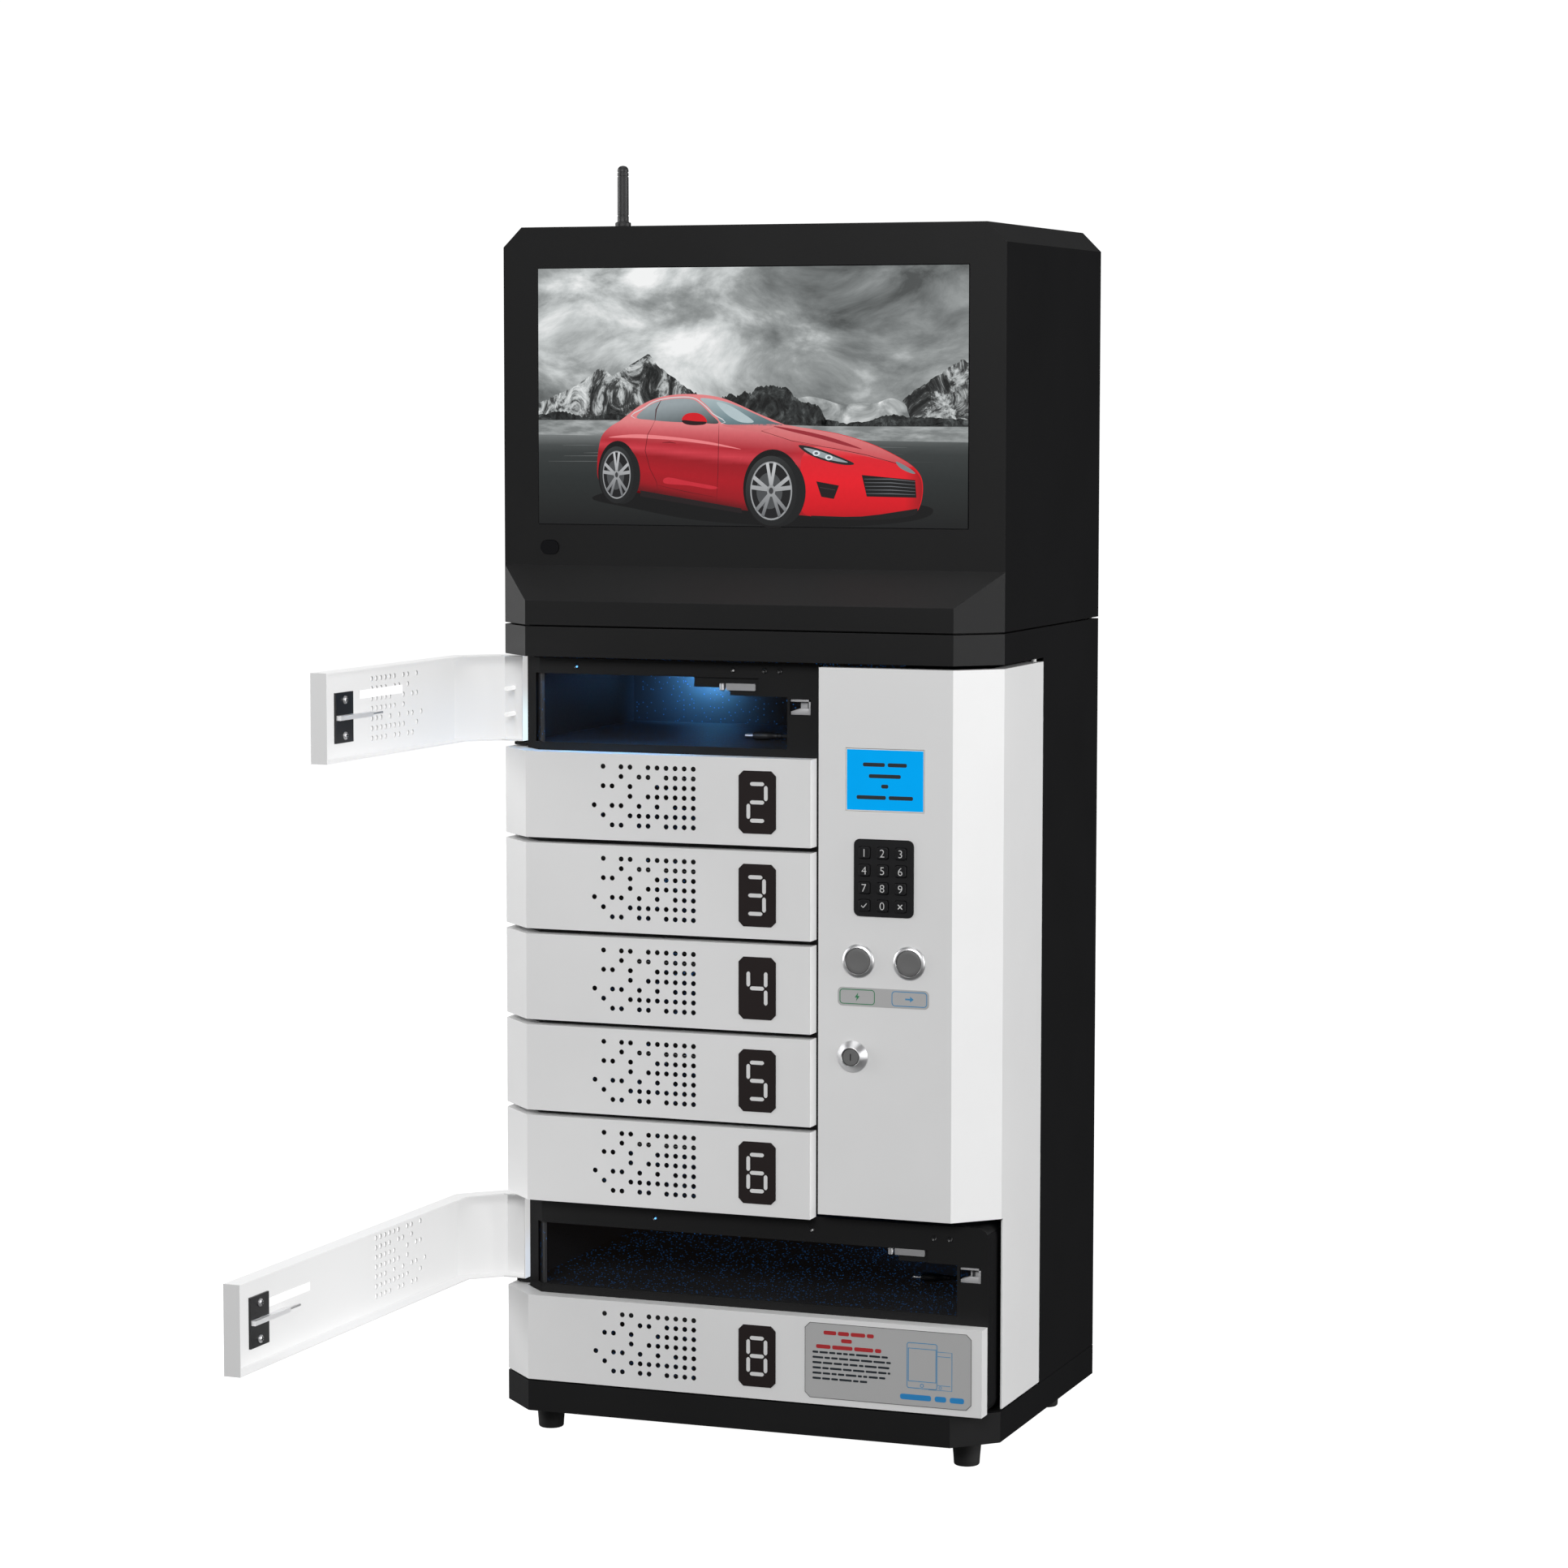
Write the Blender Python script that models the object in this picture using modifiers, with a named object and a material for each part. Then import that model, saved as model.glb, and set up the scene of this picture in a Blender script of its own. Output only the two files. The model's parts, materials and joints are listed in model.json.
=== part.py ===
"""Phone charging kiosk. Metres, +Z up, front towards -Y, floor at z = 0."""

from math import cos, pi, radians, sin

import bmesh
import bpy
from mathutils import Matrix

NAME = "phone_charging_kiosk"

# Main body
HALF_WIDTH = 0.2015
HALF_DEPTH = 0.1375
CHAMFER = 0.030
SHEET = 0.0015
GAP = 0.0003

# Heights
PLINTH_BOTTOM = 0.022
PLINTH_TOP = 0.0453
BODY_BOTTOM = 0.0456
PANEL_BOTTOM = 0.1919
PANEL_TOP = 0.6032
BAND_BOTTOM = 0.6062
BODY_TOP = 0.6291
HEAD_BOTTOM = 0.6303
FASCIA_TOP = 0.6487
FACE_BOTTOM = 0.6745
HEAD_TOP = 0.9315
HEAD_CUT = 0.015

# Locker doors
DOOR_TOP = 0.6042
DOOR_PITCH = 0.0702
DOOR_HEIGHT = 0.0661
DOOR_DEPTH = 0.0133
DOOR_SHEET = 0.0010
NARROW_DOOR_END = 0.0602
WIDE_DOOR_END = 0.1964
SIDE_RETURN_Y = -0.0853
FOLD_END_X = -0.1865
HINGE_X = -0.1960
HINGE_Y = -0.0920
PIN_RADIUS = 0.0020
PIN_HOLE = 0.00209
PIN_LENGTH = 0.0019
TOP_PIN_LENGTH = 0.0034
FOOT_PIN_LENGTH = 0.0026
LEDGE = 0.0020
OPEN_ANGLE = 91.5
OPEN_DOORS = (1, 7)
WIDE_DOORS = (7, 8)

# Frames behind the doors
FRAME_FRONT = -0.1238
FRAME_SHEET = 0.0020
FRAME_BACK = -0.0840
FRAME_LEFT = -0.1835
FRAME_SUM = -0.2893
UPPER_FRAME_RIGHT = 0.0645
LOWER_FRAME_RIGHT = 0.1970
UPPER_FRAME_BOTTOM = 0.1890
UPPER_FRAME_TOP = 0.6045
LOWER_FRAME_TOP = 0.1870
LOWER_FRAME_BOTTOM = 0.0458
LOWER_CORNER = 0.0090
OPENING_LEFT = -0.1710
UPPER_OPENING_RIGHT = 0.0364
LOWER_OPENING_RIGHT = 0.1722
UPPER_LIP = 0.0020
UPPER_HEADER = 0.0115
LOWER_LIP = 0.0027
LOWER_HEADER = 0.0155
TAB_THICKNESS = 0.0020
TAB_RADIUS = 0.0065

# Lock boxes, measured from the right edge of the locker opening and the door's top
LOCK_LEFT = 0.0756
LOCK_STEP = 0.0468
LOCK_WINDOW = 0.0229
LOCK_BACK = -0.0950
LOCK_DROP = 0.0249
UPPER_STEP_DROP = 0.0190
LOWER_STEP_DROP = 0.0137
BOLT_LEFT = 0.0494
BOLT_RIGHT = 0.0256
UPPER_BOLT_DROP = 0.0157
UPPER_BOLT_HEIGHT = 0.0052
LOWER_BOLT_DROP = 0.0155
LOWER_BOLT_HEIGHT = 0.0050
CATCH_LEFT = 0.0021
CATCH_WIDTH = 0.0165
CATCH_TOP_DROP = 0.0262
CATCH_HEIGHT = 0.0120

# Locker racks
RACK_FRONT = -0.1214
RACK_BACK = 0.1000
RACK_LEFT = -0.1811
UPPER_RACK_RIGHT = 0.0535
LOWER_RACK_RIGHT = 0.1850
UPPER_RACK_BOTTOM = 0.1876
UPPER_RACK_TOP = 0.6040
LOWER_RACK_BOTTOM = 0.0482
LOWER_RACK_TOP = 0.1835

# Service door and its controls
PANEL_LEFT = 0.0665
PANEL_REAR = -0.0095
PANEL_FLANGE = 0.0120
FLANGE_FRONT = -0.1040
SERVICE_AXIS = (0.1955, -0.0155)
PIVOT_BLOCK = 0.0100
LCD_X = (0.0881, 0.1492)
LCD_Z = (0.4973, 0.5436)
KEYPAD_X = (0.0948, 0.1418)
KEYPAD_Z = (0.4188, 0.4766)
KEY_SIZE = 0.0086
KEY_COLUMNS = (0.1034, 0.1176, 0.1318)
KEY_TOP_ROW = 0.4664
KEY_ROW_PITCH = 0.0131
KEY_NAMES = ("1", "2", "3", "4", "5", "6", "7", "8", "9", "enter", "0", "cancel")
BUTTON_X = (0.0983, 0.1383)
BUTTON_Z = 0.3850
BUTTON_RADIUS = 0.0127
CAP_RADIUS = 0.0097
LOCK_X = 0.0939
LOCK_Z = 0.3130
LOCK_RADIUS = 0.0116
PLUG_RADIUS = 0.0063
CAM_LENGTH = 0.0370

# Head
DISPLAY_X = 0.1728
DISPLAY_Z = (0.7060, 0.9003)
WINDOW_CENTRE = (-0.1638, 0.6883)
WINDOW_SIZE = (0.0150, 0.0106)
ANTENNA_X = -0.1130
ANTENNA_Y = -0.0820
ANTENNA_TOP = 0.9780

# Feet
FOOT_TOP_RADIUS = 0.0115
FOOT_BOTTOM_RADIUS = 0.0098
FOOT_FRONT_Y = -0.0945
FOOT_REAR_Y = 0.1085
FOOT_X = 0.1710

# Charging leads
LEAD_RADIUS = 0.0017
LEAD_SAG = 0.0012
PLUG_REST = 0.0034
GROMMET_RADIUS = 0.0032
GROMMET_DEPTH = 0.0030
LEAD_WAY = (0.12, 0.06)
LEADS = (
    (1, (0.0040, -0.0480), 2, UPPER_RACK_RIGHT),
    (7, (0.1290, -0.0090), 8, LOWER_RACK_RIGHT),
)


def clear_scene():
    for item in list(bpy.data.objects):
        bpy.data.objects.remove(item, do_unlink=True)


def collection(name, hidden):
    made = bpy.data.collections.new(name)
    made.hide_render = hidden
    bpy.context.scene.collection.children.link(made)
    return made


clear_scene()
PARTS = collection(NAME, False)
CUTTERS = collection("cutters", True)
MATERIALS = {}


def material(name, colour, rough, metallic=0.0):
    made = bpy.data.materials.new(name)
    made.use_nodes = True
    shader = made.node_tree.nodes["Principled BSDF"]
    shader.inputs["Base Color"].default_value = (*colour, 1.0)
    shader.inputs["Roughness"].default_value = rough
    shader.inputs["Metallic"].default_value = metallic
    MATERIALS[name] = made


material("black_paint", (0.022, 0.022, 0.024), 0.45)
material("white_paint", (0.80, 0.80, 0.80), 0.4)
material("rubber", (0.02, 0.02, 0.02), 0.8)
material("steel", (0.62, 0.62, 0.63), 0.3, 1.0)
material("chrome", (0.80, 0.80, 0.81), 0.12, 1.0)
material("black_plastic", (0.025, 0.025, 0.027), 0.5)
material("glass", (0.01, 0.01, 0.012), 0.08)
material("lcd", (0.0, 0.37, 0.83), 0.2)
material("board", (0.02, 0.12, 0.05), 0.5)


def link(name, mesh_data, where, look):
    """Puts a finished mesh in the scene, among the parts or among the cutters."""
    data = bpy.data.meshes.new(name)
    mesh_data.to_mesh(data)
    mesh_data.free()
    made = bpy.data.objects.new(name, data)
    (where or PARTS).objects.link(made)
    if look:
        data.materials.append(MATERIALS[look])
    if where is CUTTERS:
        made.hide_render = True
        made.display_type = "WIRE"
    return made


def box(name, xs, ys, zs, look=None, where=None):
    mesh_data = bmesh.new()
    bmesh.ops.create_cube(mesh_data, size=1.0)
    size = [high - low for low, high in (xs, ys, zs)]
    middle = [(high + low) / 2 for low, high in (xs, ys, zs)]
    bmesh.ops.scale(mesh_data, vec=size, verts=mesh_data.verts)
    bmesh.ops.translate(mesh_data, vec=middle, verts=mesh_data.verts)
    return link(name, mesh_data, where, look)


def prism(name, points, direction, thickness, look, where):
    """Flat outline thickened along a direction."""
    mesh_data = bmesh.new()
    face = mesh_data.faces.new([mesh_data.verts.new(point) for point in points])
    face.normal_update()
    if face.normal.dot(direction) < 0:
        face.normal_flip()
    made = link(name, mesh_data, where, look)
    step = made.modifiers.new("thickness", "SOLIDIFY")
    step.thickness = thickness
    step.offset = 1.0
    return made


def prism_z(name, outline, low, high, look=None, where=None):
    points = [(x, y, low) for x, y in outline]
    return prism(name, points, (0, 0, 1), high - low, look, where)


def prism_y(name, outline, near, far, look=None, where=None):
    points = [(x, near, z) for x, z in outline]
    return prism(name, points, (0, 1, 0), far - near, look, where)


def prism_x(name, outline, low, high, look=None, where=None):
    points = [(low, y, z) for y, z in outline]
    return prism(name, points, (1, 0, 0), high - low, look, where)


def rod(name, centre, radius, low, high, count=20, look=None, where=None):
    """Upright cylinder."""
    mesh_data = bmesh.new()
    bmesh.ops.create_cone(
        mesh_data, cap_ends=True, segments=count, radius1=radius, radius2=radius,
        depth=high - low,
    )
    middle = (centre[0], centre[1], (low + high) / 2)
    bmesh.ops.translate(mesh_data, vec=middle, verts=mesh_data.verts)
    return link(name, mesh_data, where, look)


def hole_y(name, centre, radius, near, far, count=32):
    """Cylindrical cutter lying along Y."""
    mesh_data = bmesh.new()
    bmesh.ops.create_cone(
        mesh_data, cap_ends=True, segments=count, radius1=radius, radius2=radius,
        depth=far - near, matrix=Matrix.Rotation(radians(90), 4, "X"),
    )
    middle = (centre[0], (near + far) / 2, centre[1])
    bmesh.ops.translate(mesh_data, vec=middle, verts=mesh_data.verts)
    return link(name, mesh_data, CUTTERS, None)


def turned(name, place, profile, look, steps=32):
    """Profile of (height, radius) pairs from the top down, turned about local Z."""
    mesh_data = bmesh.new()
    rim = [(0.0, 0.0, profile[0][0])]
    rim += [(radius, 0.0, height) for height, radius in profile]
    rim.append((0.0, 0.0, profile[-1][0]))
    corners = [mesh_data.verts.new(point) for point in rim]
    for first, second in zip(corners, corners[1:]):
        mesh_data.edges.new((first, second))
    made = link(name, mesh_data, None, look)
    step = made.modifiers.new("turn", "SCREW")
    step.steps = steps
    step.render_steps = steps
    step.use_merge_vertices = True
    step.merge_threshold = 0.00001
    step.use_smooth_shade = True
    made.location = place
    return made


def turned_front(name, centre, profile, look, steps=28):
    """Turned piece facing forwards: profile of (y, radius) pairs from the front back."""
    front = profile[0][0]
    heights = [(front - y, radius) for y, radius in profile]
    made = turned(name, (centre[0], front, centre[1]), heights, look, steps)
    made.rotation_euler[0] = radians(90)
    return made


def rectangle(low_a, high_a, low_b, high_b):
    return [(low_a, low_b), (high_a, low_b), (high_a, high_b), (low_a, high_b)]


def rounded(low_a, high_a, low_b, high_b, radius, steps=4):
    """Rectangle outline with four rounded corners."""
    centres = (
        (high_a - radius, low_b + radius, -90),
        (high_a - radius, high_b - radius, 0),
        (low_a + radius, high_b - radius, 90),
        (low_a + radius, low_b + radius, 180),
    )
    points = []
    for a, b, start in centres:
        for i in range(steps + 1):
            turn = radians(start + 90 * i / steps)
            points.append((a + radius * cos(turn), b + radius * sin(turn)))
    return points


def boolean(target, other, operation):
    step = target.modifiers.new(operation.lower(), "BOOLEAN")
    step.operation = operation
    step.solver = "EXACT"
    step.object = other


def cut(target, *others):
    for other in others:
        boolean(target, other, "DIFFERENCE")


def join(target, *others):
    for other in others:
        boolean(target, other, "UNION")


def pivot(target, point, degrees=0.0):
    """Moves the origin to a point on the joint axis, then turns the piece about +Z."""
    x, y, z = point
    for vertex in target.data.vertices:
        vertex.co.x -= x
        vertex.co.y -= y
        vertex.co.z -= z
    target.location = point
    target.rotation_euler[2] = radians(degrees)


def body_outline(inset=0.0):
    """Plan of the body: square at the rear, chamfered at both front corners."""
    side = HALF_WIDTH - inset
    rear = HALF_DEPTH - inset
    shift = inset * 0.41421
    flat = HALF_WIDTH - CHAMFER - shift
    outer = -HALF_DEPTH + CHAMFER + shift
    return [
        (-side, rear),
        (-side, outer),
        (-flat, -HALF_DEPTH + inset),
        (flat, -HALF_DEPTH + inset),
        (side, outer),
        (side, rear),
    ]


def door_top(number):
    return DOOR_TOP - DOOR_PITCH * (number - 1)


def build_plinth():
    plinth = prism_z("plinth", body_outline(), PLINTH_BOTTOM, PLINTH_TOP, "black_paint")
    inner = body_outline(SHEET)
    hollow = prism_z(
        "cut_plinth", inner, PLINTH_BOTTOM + SHEET, PLINTH_TOP - SHEET, where=CUTTERS
    )
    mouth = box(
        "cut_plinth_top", (-0.17, 0.17), (-0.10, 0.11), (0.035, 0.05), where=CUTTERS
    )
    door_pivot = rod("cut_door_pivot", (HINGE_X, HINGE_Y), PIN_HOLE, 0.040, 0.050,
                     where=CUTTERS)
    panel_pivot = rod("cut_panel_pivot", SERVICE_AXIS, PIN_HOLE, 0.040, 0.050,
                      where=CUTTERS)
    cut(plinth, hollow, mouth, door_pivot, panel_pivot)


def build_feet():
    spots = {
        "foot_front_left": (-FOOT_X, FOOT_FRONT_Y),
        "foot_front_right": (FOOT_X, FOOT_FRONT_Y),
        "foot_rear_left": (-FOOT_X, FOOT_REAR_Y),
        "foot_rear_right": (FOOT_X, FOOT_REAR_Y),
    }
    profile = (
        (PLINTH_BOTTOM - GAP, FOOT_TOP_RADIUS),
        (0.0006, FOOT_BOTTOM_RADIUS),
        (0.0, FOOT_BOTTOM_RADIUS - 0.0006),
    )
    for name, spot in spots.items():
        turned(name, (*spot, 0.0), profile, "rubber", 28)


def build_cabinet():
    shell = prism_z("cabinet_shell", body_outline(), BODY_BOTTOM, BODY_TOP, "black_paint")
    hollow = prism_z(
        "cut_shell", body_outline(SHEET), 0.03, BODY_TOP - SHEET, where=CUTTERS
    )
    front = box(
        "cut_shell_front", (-0.25, 0.25), (-0.20, -0.0825), (0.03, BAND_BOTTOM),
        where=CUTTERS,
    )
    right = box(
        "cut_shell_right", (0.15, 0.25), (-0.20, -0.0080), (0.03, BAND_BOTTOM),
        where=CUTTERS,
    )
    rear = box(
        "cut_shell_rear", (-0.155, 0.155), (0.12, 0.15), (0.215, 0.565), where=CUTTERS
    )
    inlet = box(
        "cut_shell_inlet", (0.1146, 0.1454), (0.12, 0.15), (0.0746, 0.1004),
        where=CUTTERS,
    )
    lead = rod("cut_shell_lead", LEAD_WAY, 0.018, 0.60, 0.65, where=CUTTERS)
    cut(shell, hollow, front, right, rear, inlet, lead)
    ledges = (
        ("door", (-0.2008, -0.1860), (-0.1010, -0.0835), (HINGE_X, HINGE_Y)),
        ("panel", (0.1880, 0.2008), (-0.0230, -0.0070), SERVICE_AXIS),
    )
    for tag, xs, ys, axis in ledges:
        level = (BAND_BOTTOM, BAND_BOTTOM + LEDGE)
        ledge = box(f"{tag}_ledge", xs, ys, level, where=CUTTERS)
        hole = rod(f"cut_{tag}_ledge", axis, PIN_HOLE, 0.60, 0.61, where=CUTTERS)
        join(shell, ledge)
        cut(shell, hole)


def build_rear_cover():
    cover = prism_y(
        "rear_cover",
        rounded(-0.165, 0.165, 0.205, 0.575, 0.006),
        HALF_DEPTH + GAP,
        HALF_DEPTH + GAP + SHEET,
        "black_paint",
    )
    for row in range(6):
        z = 0.47 + 0.014 * row
        slot = prism_y(
            f"cut_louvre_{row}", rounded(-0.06, 0.06, z, z + 0.005, 0.0024, 3), 0.13, 0.15,
            where=CUTTERS,
        )
        cut(cover, slot)


def frame_outline(right, inset):
    """Plan of a frame: flat front, chamfered front left corner, open at the back."""
    total = FRAME_SUM + inset * 1.41421
    front = FRAME_FRONT + inset
    left = FRAME_LEFT + inset
    return [
        (total - front, front),
        (right, front),
        (right, FRAME_BACK + inset),
        (left, FRAME_BACK + inset),
        (left, total - left),
    ]


def add_locker_opening(frame, number, right, low, high):
    """Cuts one locker's mouth, leaving the part of the header that covers the lock."""
    top = door_top(number)
    drop = top - LOCK_DROP
    window = right - LOCK_WINDOW
    outline = [
        (OPENING_LEFT, low),
        (right, low),
        (right, drop),
        (window, drop),
        (window, high),
        (OPENING_LEFT, high),
    ]
    mouth = prism_y(f"cut_mouth_{number}", outline, -0.14, -0.10, where=CUTTERS)
    catch_low = top - CATCH_TOP_DROP - CATCH_HEIGHT
    catch = box(
        f"cut_catch_{number}",
        (right + CATCH_LEFT, right + CATCH_LEFT + CATCH_WIDTH),
        (-0.14, -0.115),
        (catch_low, catch_low + CATCH_HEIGHT),
        where=CUTTERS,
    )
    cut(frame, mouth, catch)


def add_lock_box(frame, number, right, step_drop):
    top = door_top(number)
    outline = [
        (right - LOCK_LEFT, top - step_drop),
        (right - LOCK_STEP, top - step_drop),
        (right - LOCK_STEP, top - LOCK_DROP),
        (right - 0.0005, top - LOCK_DROP),
        (right - 0.0005, top - 0.0045),
        (right - LOCK_LEFT, top - 0.0045),
    ]
    lock = prism_y(
        f"lock_box_{number}", outline, FRAME_FRONT + FRAME_SHEET - 0.0001, LOCK_BACK,
        where=CUTTERS,
    )
    join(frame, lock)


def add_tab(frame, level, thickness, index):
    """Hinge tab: round end over the pin axis, root inside the frame's side wall."""
    points = [
        (FRAME_LEFT + 0.001, HINGE_Y - TAB_RADIUS),
        (FRAME_LEFT + 0.001, HINGE_Y + TAB_RADIUS),
    ]
    for step in range(9):
        turn = pi / 2 + pi * step / 8
        x = HINGE_X + 0.0022 + TAB_RADIUS * cos(turn)
        points.append((x, HINGE_Y + TAB_RADIUS * sin(turn)))
    tab = prism_z(f"tab_{index}", points, level, level + thickness, where=CUTTERS)
    hole = rod(
        f"cut_tab_{index}", (HINGE_X, HINGE_Y), PIN_HOLE, level - 0.001,
        level + thickness + 0.001, where=CUTTERS,
    )
    join(frame, tab)
    cut(frame, hole)


def tab_level(number):
    """Bottom of the tab that sits in the gap above a door."""
    spare = DOOR_PITCH - DOOR_HEIGHT - TAB_THICKNESS
    return door_top(number) + spare / 2


def build_upper_frame():
    frame = prism_z(
        "upper_frame",
        frame_outline(UPPER_FRAME_RIGHT, 0.0),
        UPPER_FRAME_BOTTOM,
        UPPER_FRAME_TOP,
        "black_paint",
    )
    inner = frame_outline(UPPER_FRAME_RIGHT + 0.05, FRAME_SHEET)
    hollow = prism_z("cut_upper_frame", inner, 0.15, 0.65, where=CUTTERS)
    cut(frame, hollow)
    for number in range(1, 7):
        top = door_top(number)
        low = top - DOOR_HEIGHT + UPPER_LIP
        high = top - UPPER_HEADER
        add_locker_opening(frame, number, UPPER_OPENING_RIGHT, low, high)
        add_lock_box(frame, number, UPPER_OPENING_RIGHT, UPPER_STEP_DROP)
    for number in range(2, 7):
        add_tab(frame, tab_level(number), TAB_THICKNESS, number)


def build_lower_frame():
    left = FRAME_LEFT
    corner = LOWER_CORNER
    frame = prism_y(
        "lower_frame",
        right_rounded(left, LOWER_FRAME_RIGHT, LOWER_FRAME_BOTTOM, LOWER_FRAME_TOP, corner),
        FRAME_FRONT,
        FRAME_BACK,
        "black_paint",
    )
    side = LOWER_FRAME_RIGHT - FRAME_SHEET
    low = LOWER_FRAME_BOTTOM + FRAME_SHEET
    high = LOWER_FRAME_TOP - FRAME_SHEET
    nose = prism_z(
        "cut_lower_nose",
        [(-0.25, -0.20), (FRAME_SUM + 0.20, -0.20), (-0.25, FRAME_SUM + 0.25)],
        0.03, 0.20, where=CUTTERS,
    )
    main = prism_y(
        "cut_lower_main",
        right_rounded(-0.160, side, low, high, corner - FRAME_SHEET),
        FRAME_FRONT + FRAME_SHEET, -0.05, where=CUTTERS,
    )
    total = FRAME_SUM + FRAME_SHEET * 1.41421
    inner_left = left + FRAME_SHEET
    front = FRAME_FRONT + FRAME_SHEET
    corner_cut = prism_z(
        "cut_lower_corner",
        [
            (total - front, front), (-0.150, front), (-0.150, -0.05),
            (inner_left, -0.05), (inner_left, total - inner_left),
        ],
        low, high, where=CUTTERS,
    )
    cut(frame, nose, main, corner_cut)
    for number in WIDE_DOORS:
        top = door_top(number)
        add_locker_opening(
            frame, number, LOWER_OPENING_RIGHT,
            top - DOOR_HEIGHT + LOWER_LIP, top - LOWER_HEADER,
        )
        add_lock_box(frame, number, LOWER_OPENING_RIGHT, LOWER_STEP_DROP)
    add_tab(frame, tab_level(7), TAB_THICKNESS, 7)
    add_tab(frame, tab_level(8), TAB_THICKNESS, 8)


def right_rounded(low_a, high_a, low_b, high_b, radius, steps=6):
    """Rectangle outline with the two right corners rounded."""
    points = [(low_a, high_b), (low_a, low_b)]
    for centre_b, start in ((low_b + radius, -90), (high_b - radius, 0)):
        for i in range(steps + 1):
            turn = radians(start + 90 * i / steps)
            points.append(
                (high_a - radius + radius * cos(turn), centre_b + radius * sin(turn))
            )
    return points


def rack_outline(right, inset):
    total = RACK_LEFT - 0.1049 + inset * 1.41421
    left = RACK_LEFT + inset
    front = RACK_FRONT - (0.02 if inset else 0.0)
    return [
        (total - front, front),
        (right - inset, front),
        (right - inset, RACK_BACK - inset),
        (left, RACK_BACK - inset),
        (left, total - left),
    ]


def build_rack(name, right, low, high, floors, lead):
    """Sheet locker rack, with a grommet where one locker's charging lead comes in."""
    rack = prism_z(name, rack_outline(right, 0.0), low, high, "black_paint")
    ceilings = [high] + [floor for floor in floors[:-1]]
    for index, (floor, ceiling) in enumerate(zip(floors, ceilings)):
        pocket = prism_z(
            f"cut_{name}_{index}", rack_outline(right, SHEET), floor, ceiling - SHEET,
            where=CUTTERS,
        )
        cut(rack, pocket)
    level, y = lead
    mesh_data = bmesh.new()
    bmesh.ops.create_cone(
        mesh_data, cap_ends=True, segments=20, radius1=GROMMET_RADIUS,
        radius2=GROMMET_RADIUS, depth=GROMMET_DEPTH + 0.001,
        matrix=Matrix.Rotation(radians(90), 4, "Y"),
    )
    x = right - SHEET - (GROMMET_DEPTH - 0.001) / 2
    bmesh.ops.translate(mesh_data, vec=(x, y, level), verts=mesh_data.verts)
    join(rack, link(f"{name}_grommet", mesh_data, CUTTERS, None))


def build_racks():
    sites = {}
    for number, tail, _, _ in LEADS:
        lip = LOWER_LIP if number in WIDE_DOORS else UPPER_LIP
        level = door_top(number) - DOOR_HEIGHT + lip + PLUG_REST
        sites[number] = (level, tail[1] + 0.003)
    upper = [door_top(n) - DOOR_HEIGHT + UPPER_LIP for n in range(1, 7)]
    build_rack(
        "upper_rack", UPPER_RACK_RIGHT, UPPER_RACK_BOTTOM, UPPER_RACK_TOP, upper, sites[1]
    )
    lower = [door_top(7) - DOOR_HEIGHT + LOWER_LIP, LOWER_RACK_BOTTOM + SHEET]
    build_rack(
        "lower_rack", LOWER_RACK_RIGHT, LOWER_RACK_BOTTOM, LOWER_RACK_TOP, lower, sites[7]
    )


def door_outline(end, inset=0.0):
    """Plan of a door tray: front, left chamfer and a short return along the side."""
    shift = inset * 0.41421
    return [
        (end - inset, -HALF_DEPTH + inset),
        (end - inset, -HALF_DEPTH + DOOR_DEPTH),
        (-0.1660, -HALF_DEPTH + DOOR_DEPTH),
        (FOLD_END_X, -0.1037),
        (FOLD_END_X, SIDE_RETURN_Y - inset),
        (-HALF_WIDTH + inset, SIDE_RETURN_Y - inset),
        (-HALF_WIDTH + inset, -HALF_DEPTH + CHAMFER + shift),
        (-HALF_WIDTH + CHAMFER + shift, -HALF_DEPTH + inset),
    ]


def tray_cut_outline(end):
    """Hollow of a door tray, running out through its open back."""
    inset = DOOR_SHEET
    shift = inset * 0.41421
    return [
        (end - inset, -HALF_DEPTH + inset),
        (end - inset, -0.1200),
        (-0.1600, -0.1200),
        (-0.1830, -0.0970),
        (-0.1830, SIDE_RETURN_Y - inset),
        (-HALF_WIDTH + inset, SIDE_RETURN_Y - inset),
        (-HALF_WIDTH + inset, -HALF_DEPTH + CHAMFER + shift),
        (-HALF_WIDTH + CHAMFER + shift, -HALF_DEPTH + inset),
    ]


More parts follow.
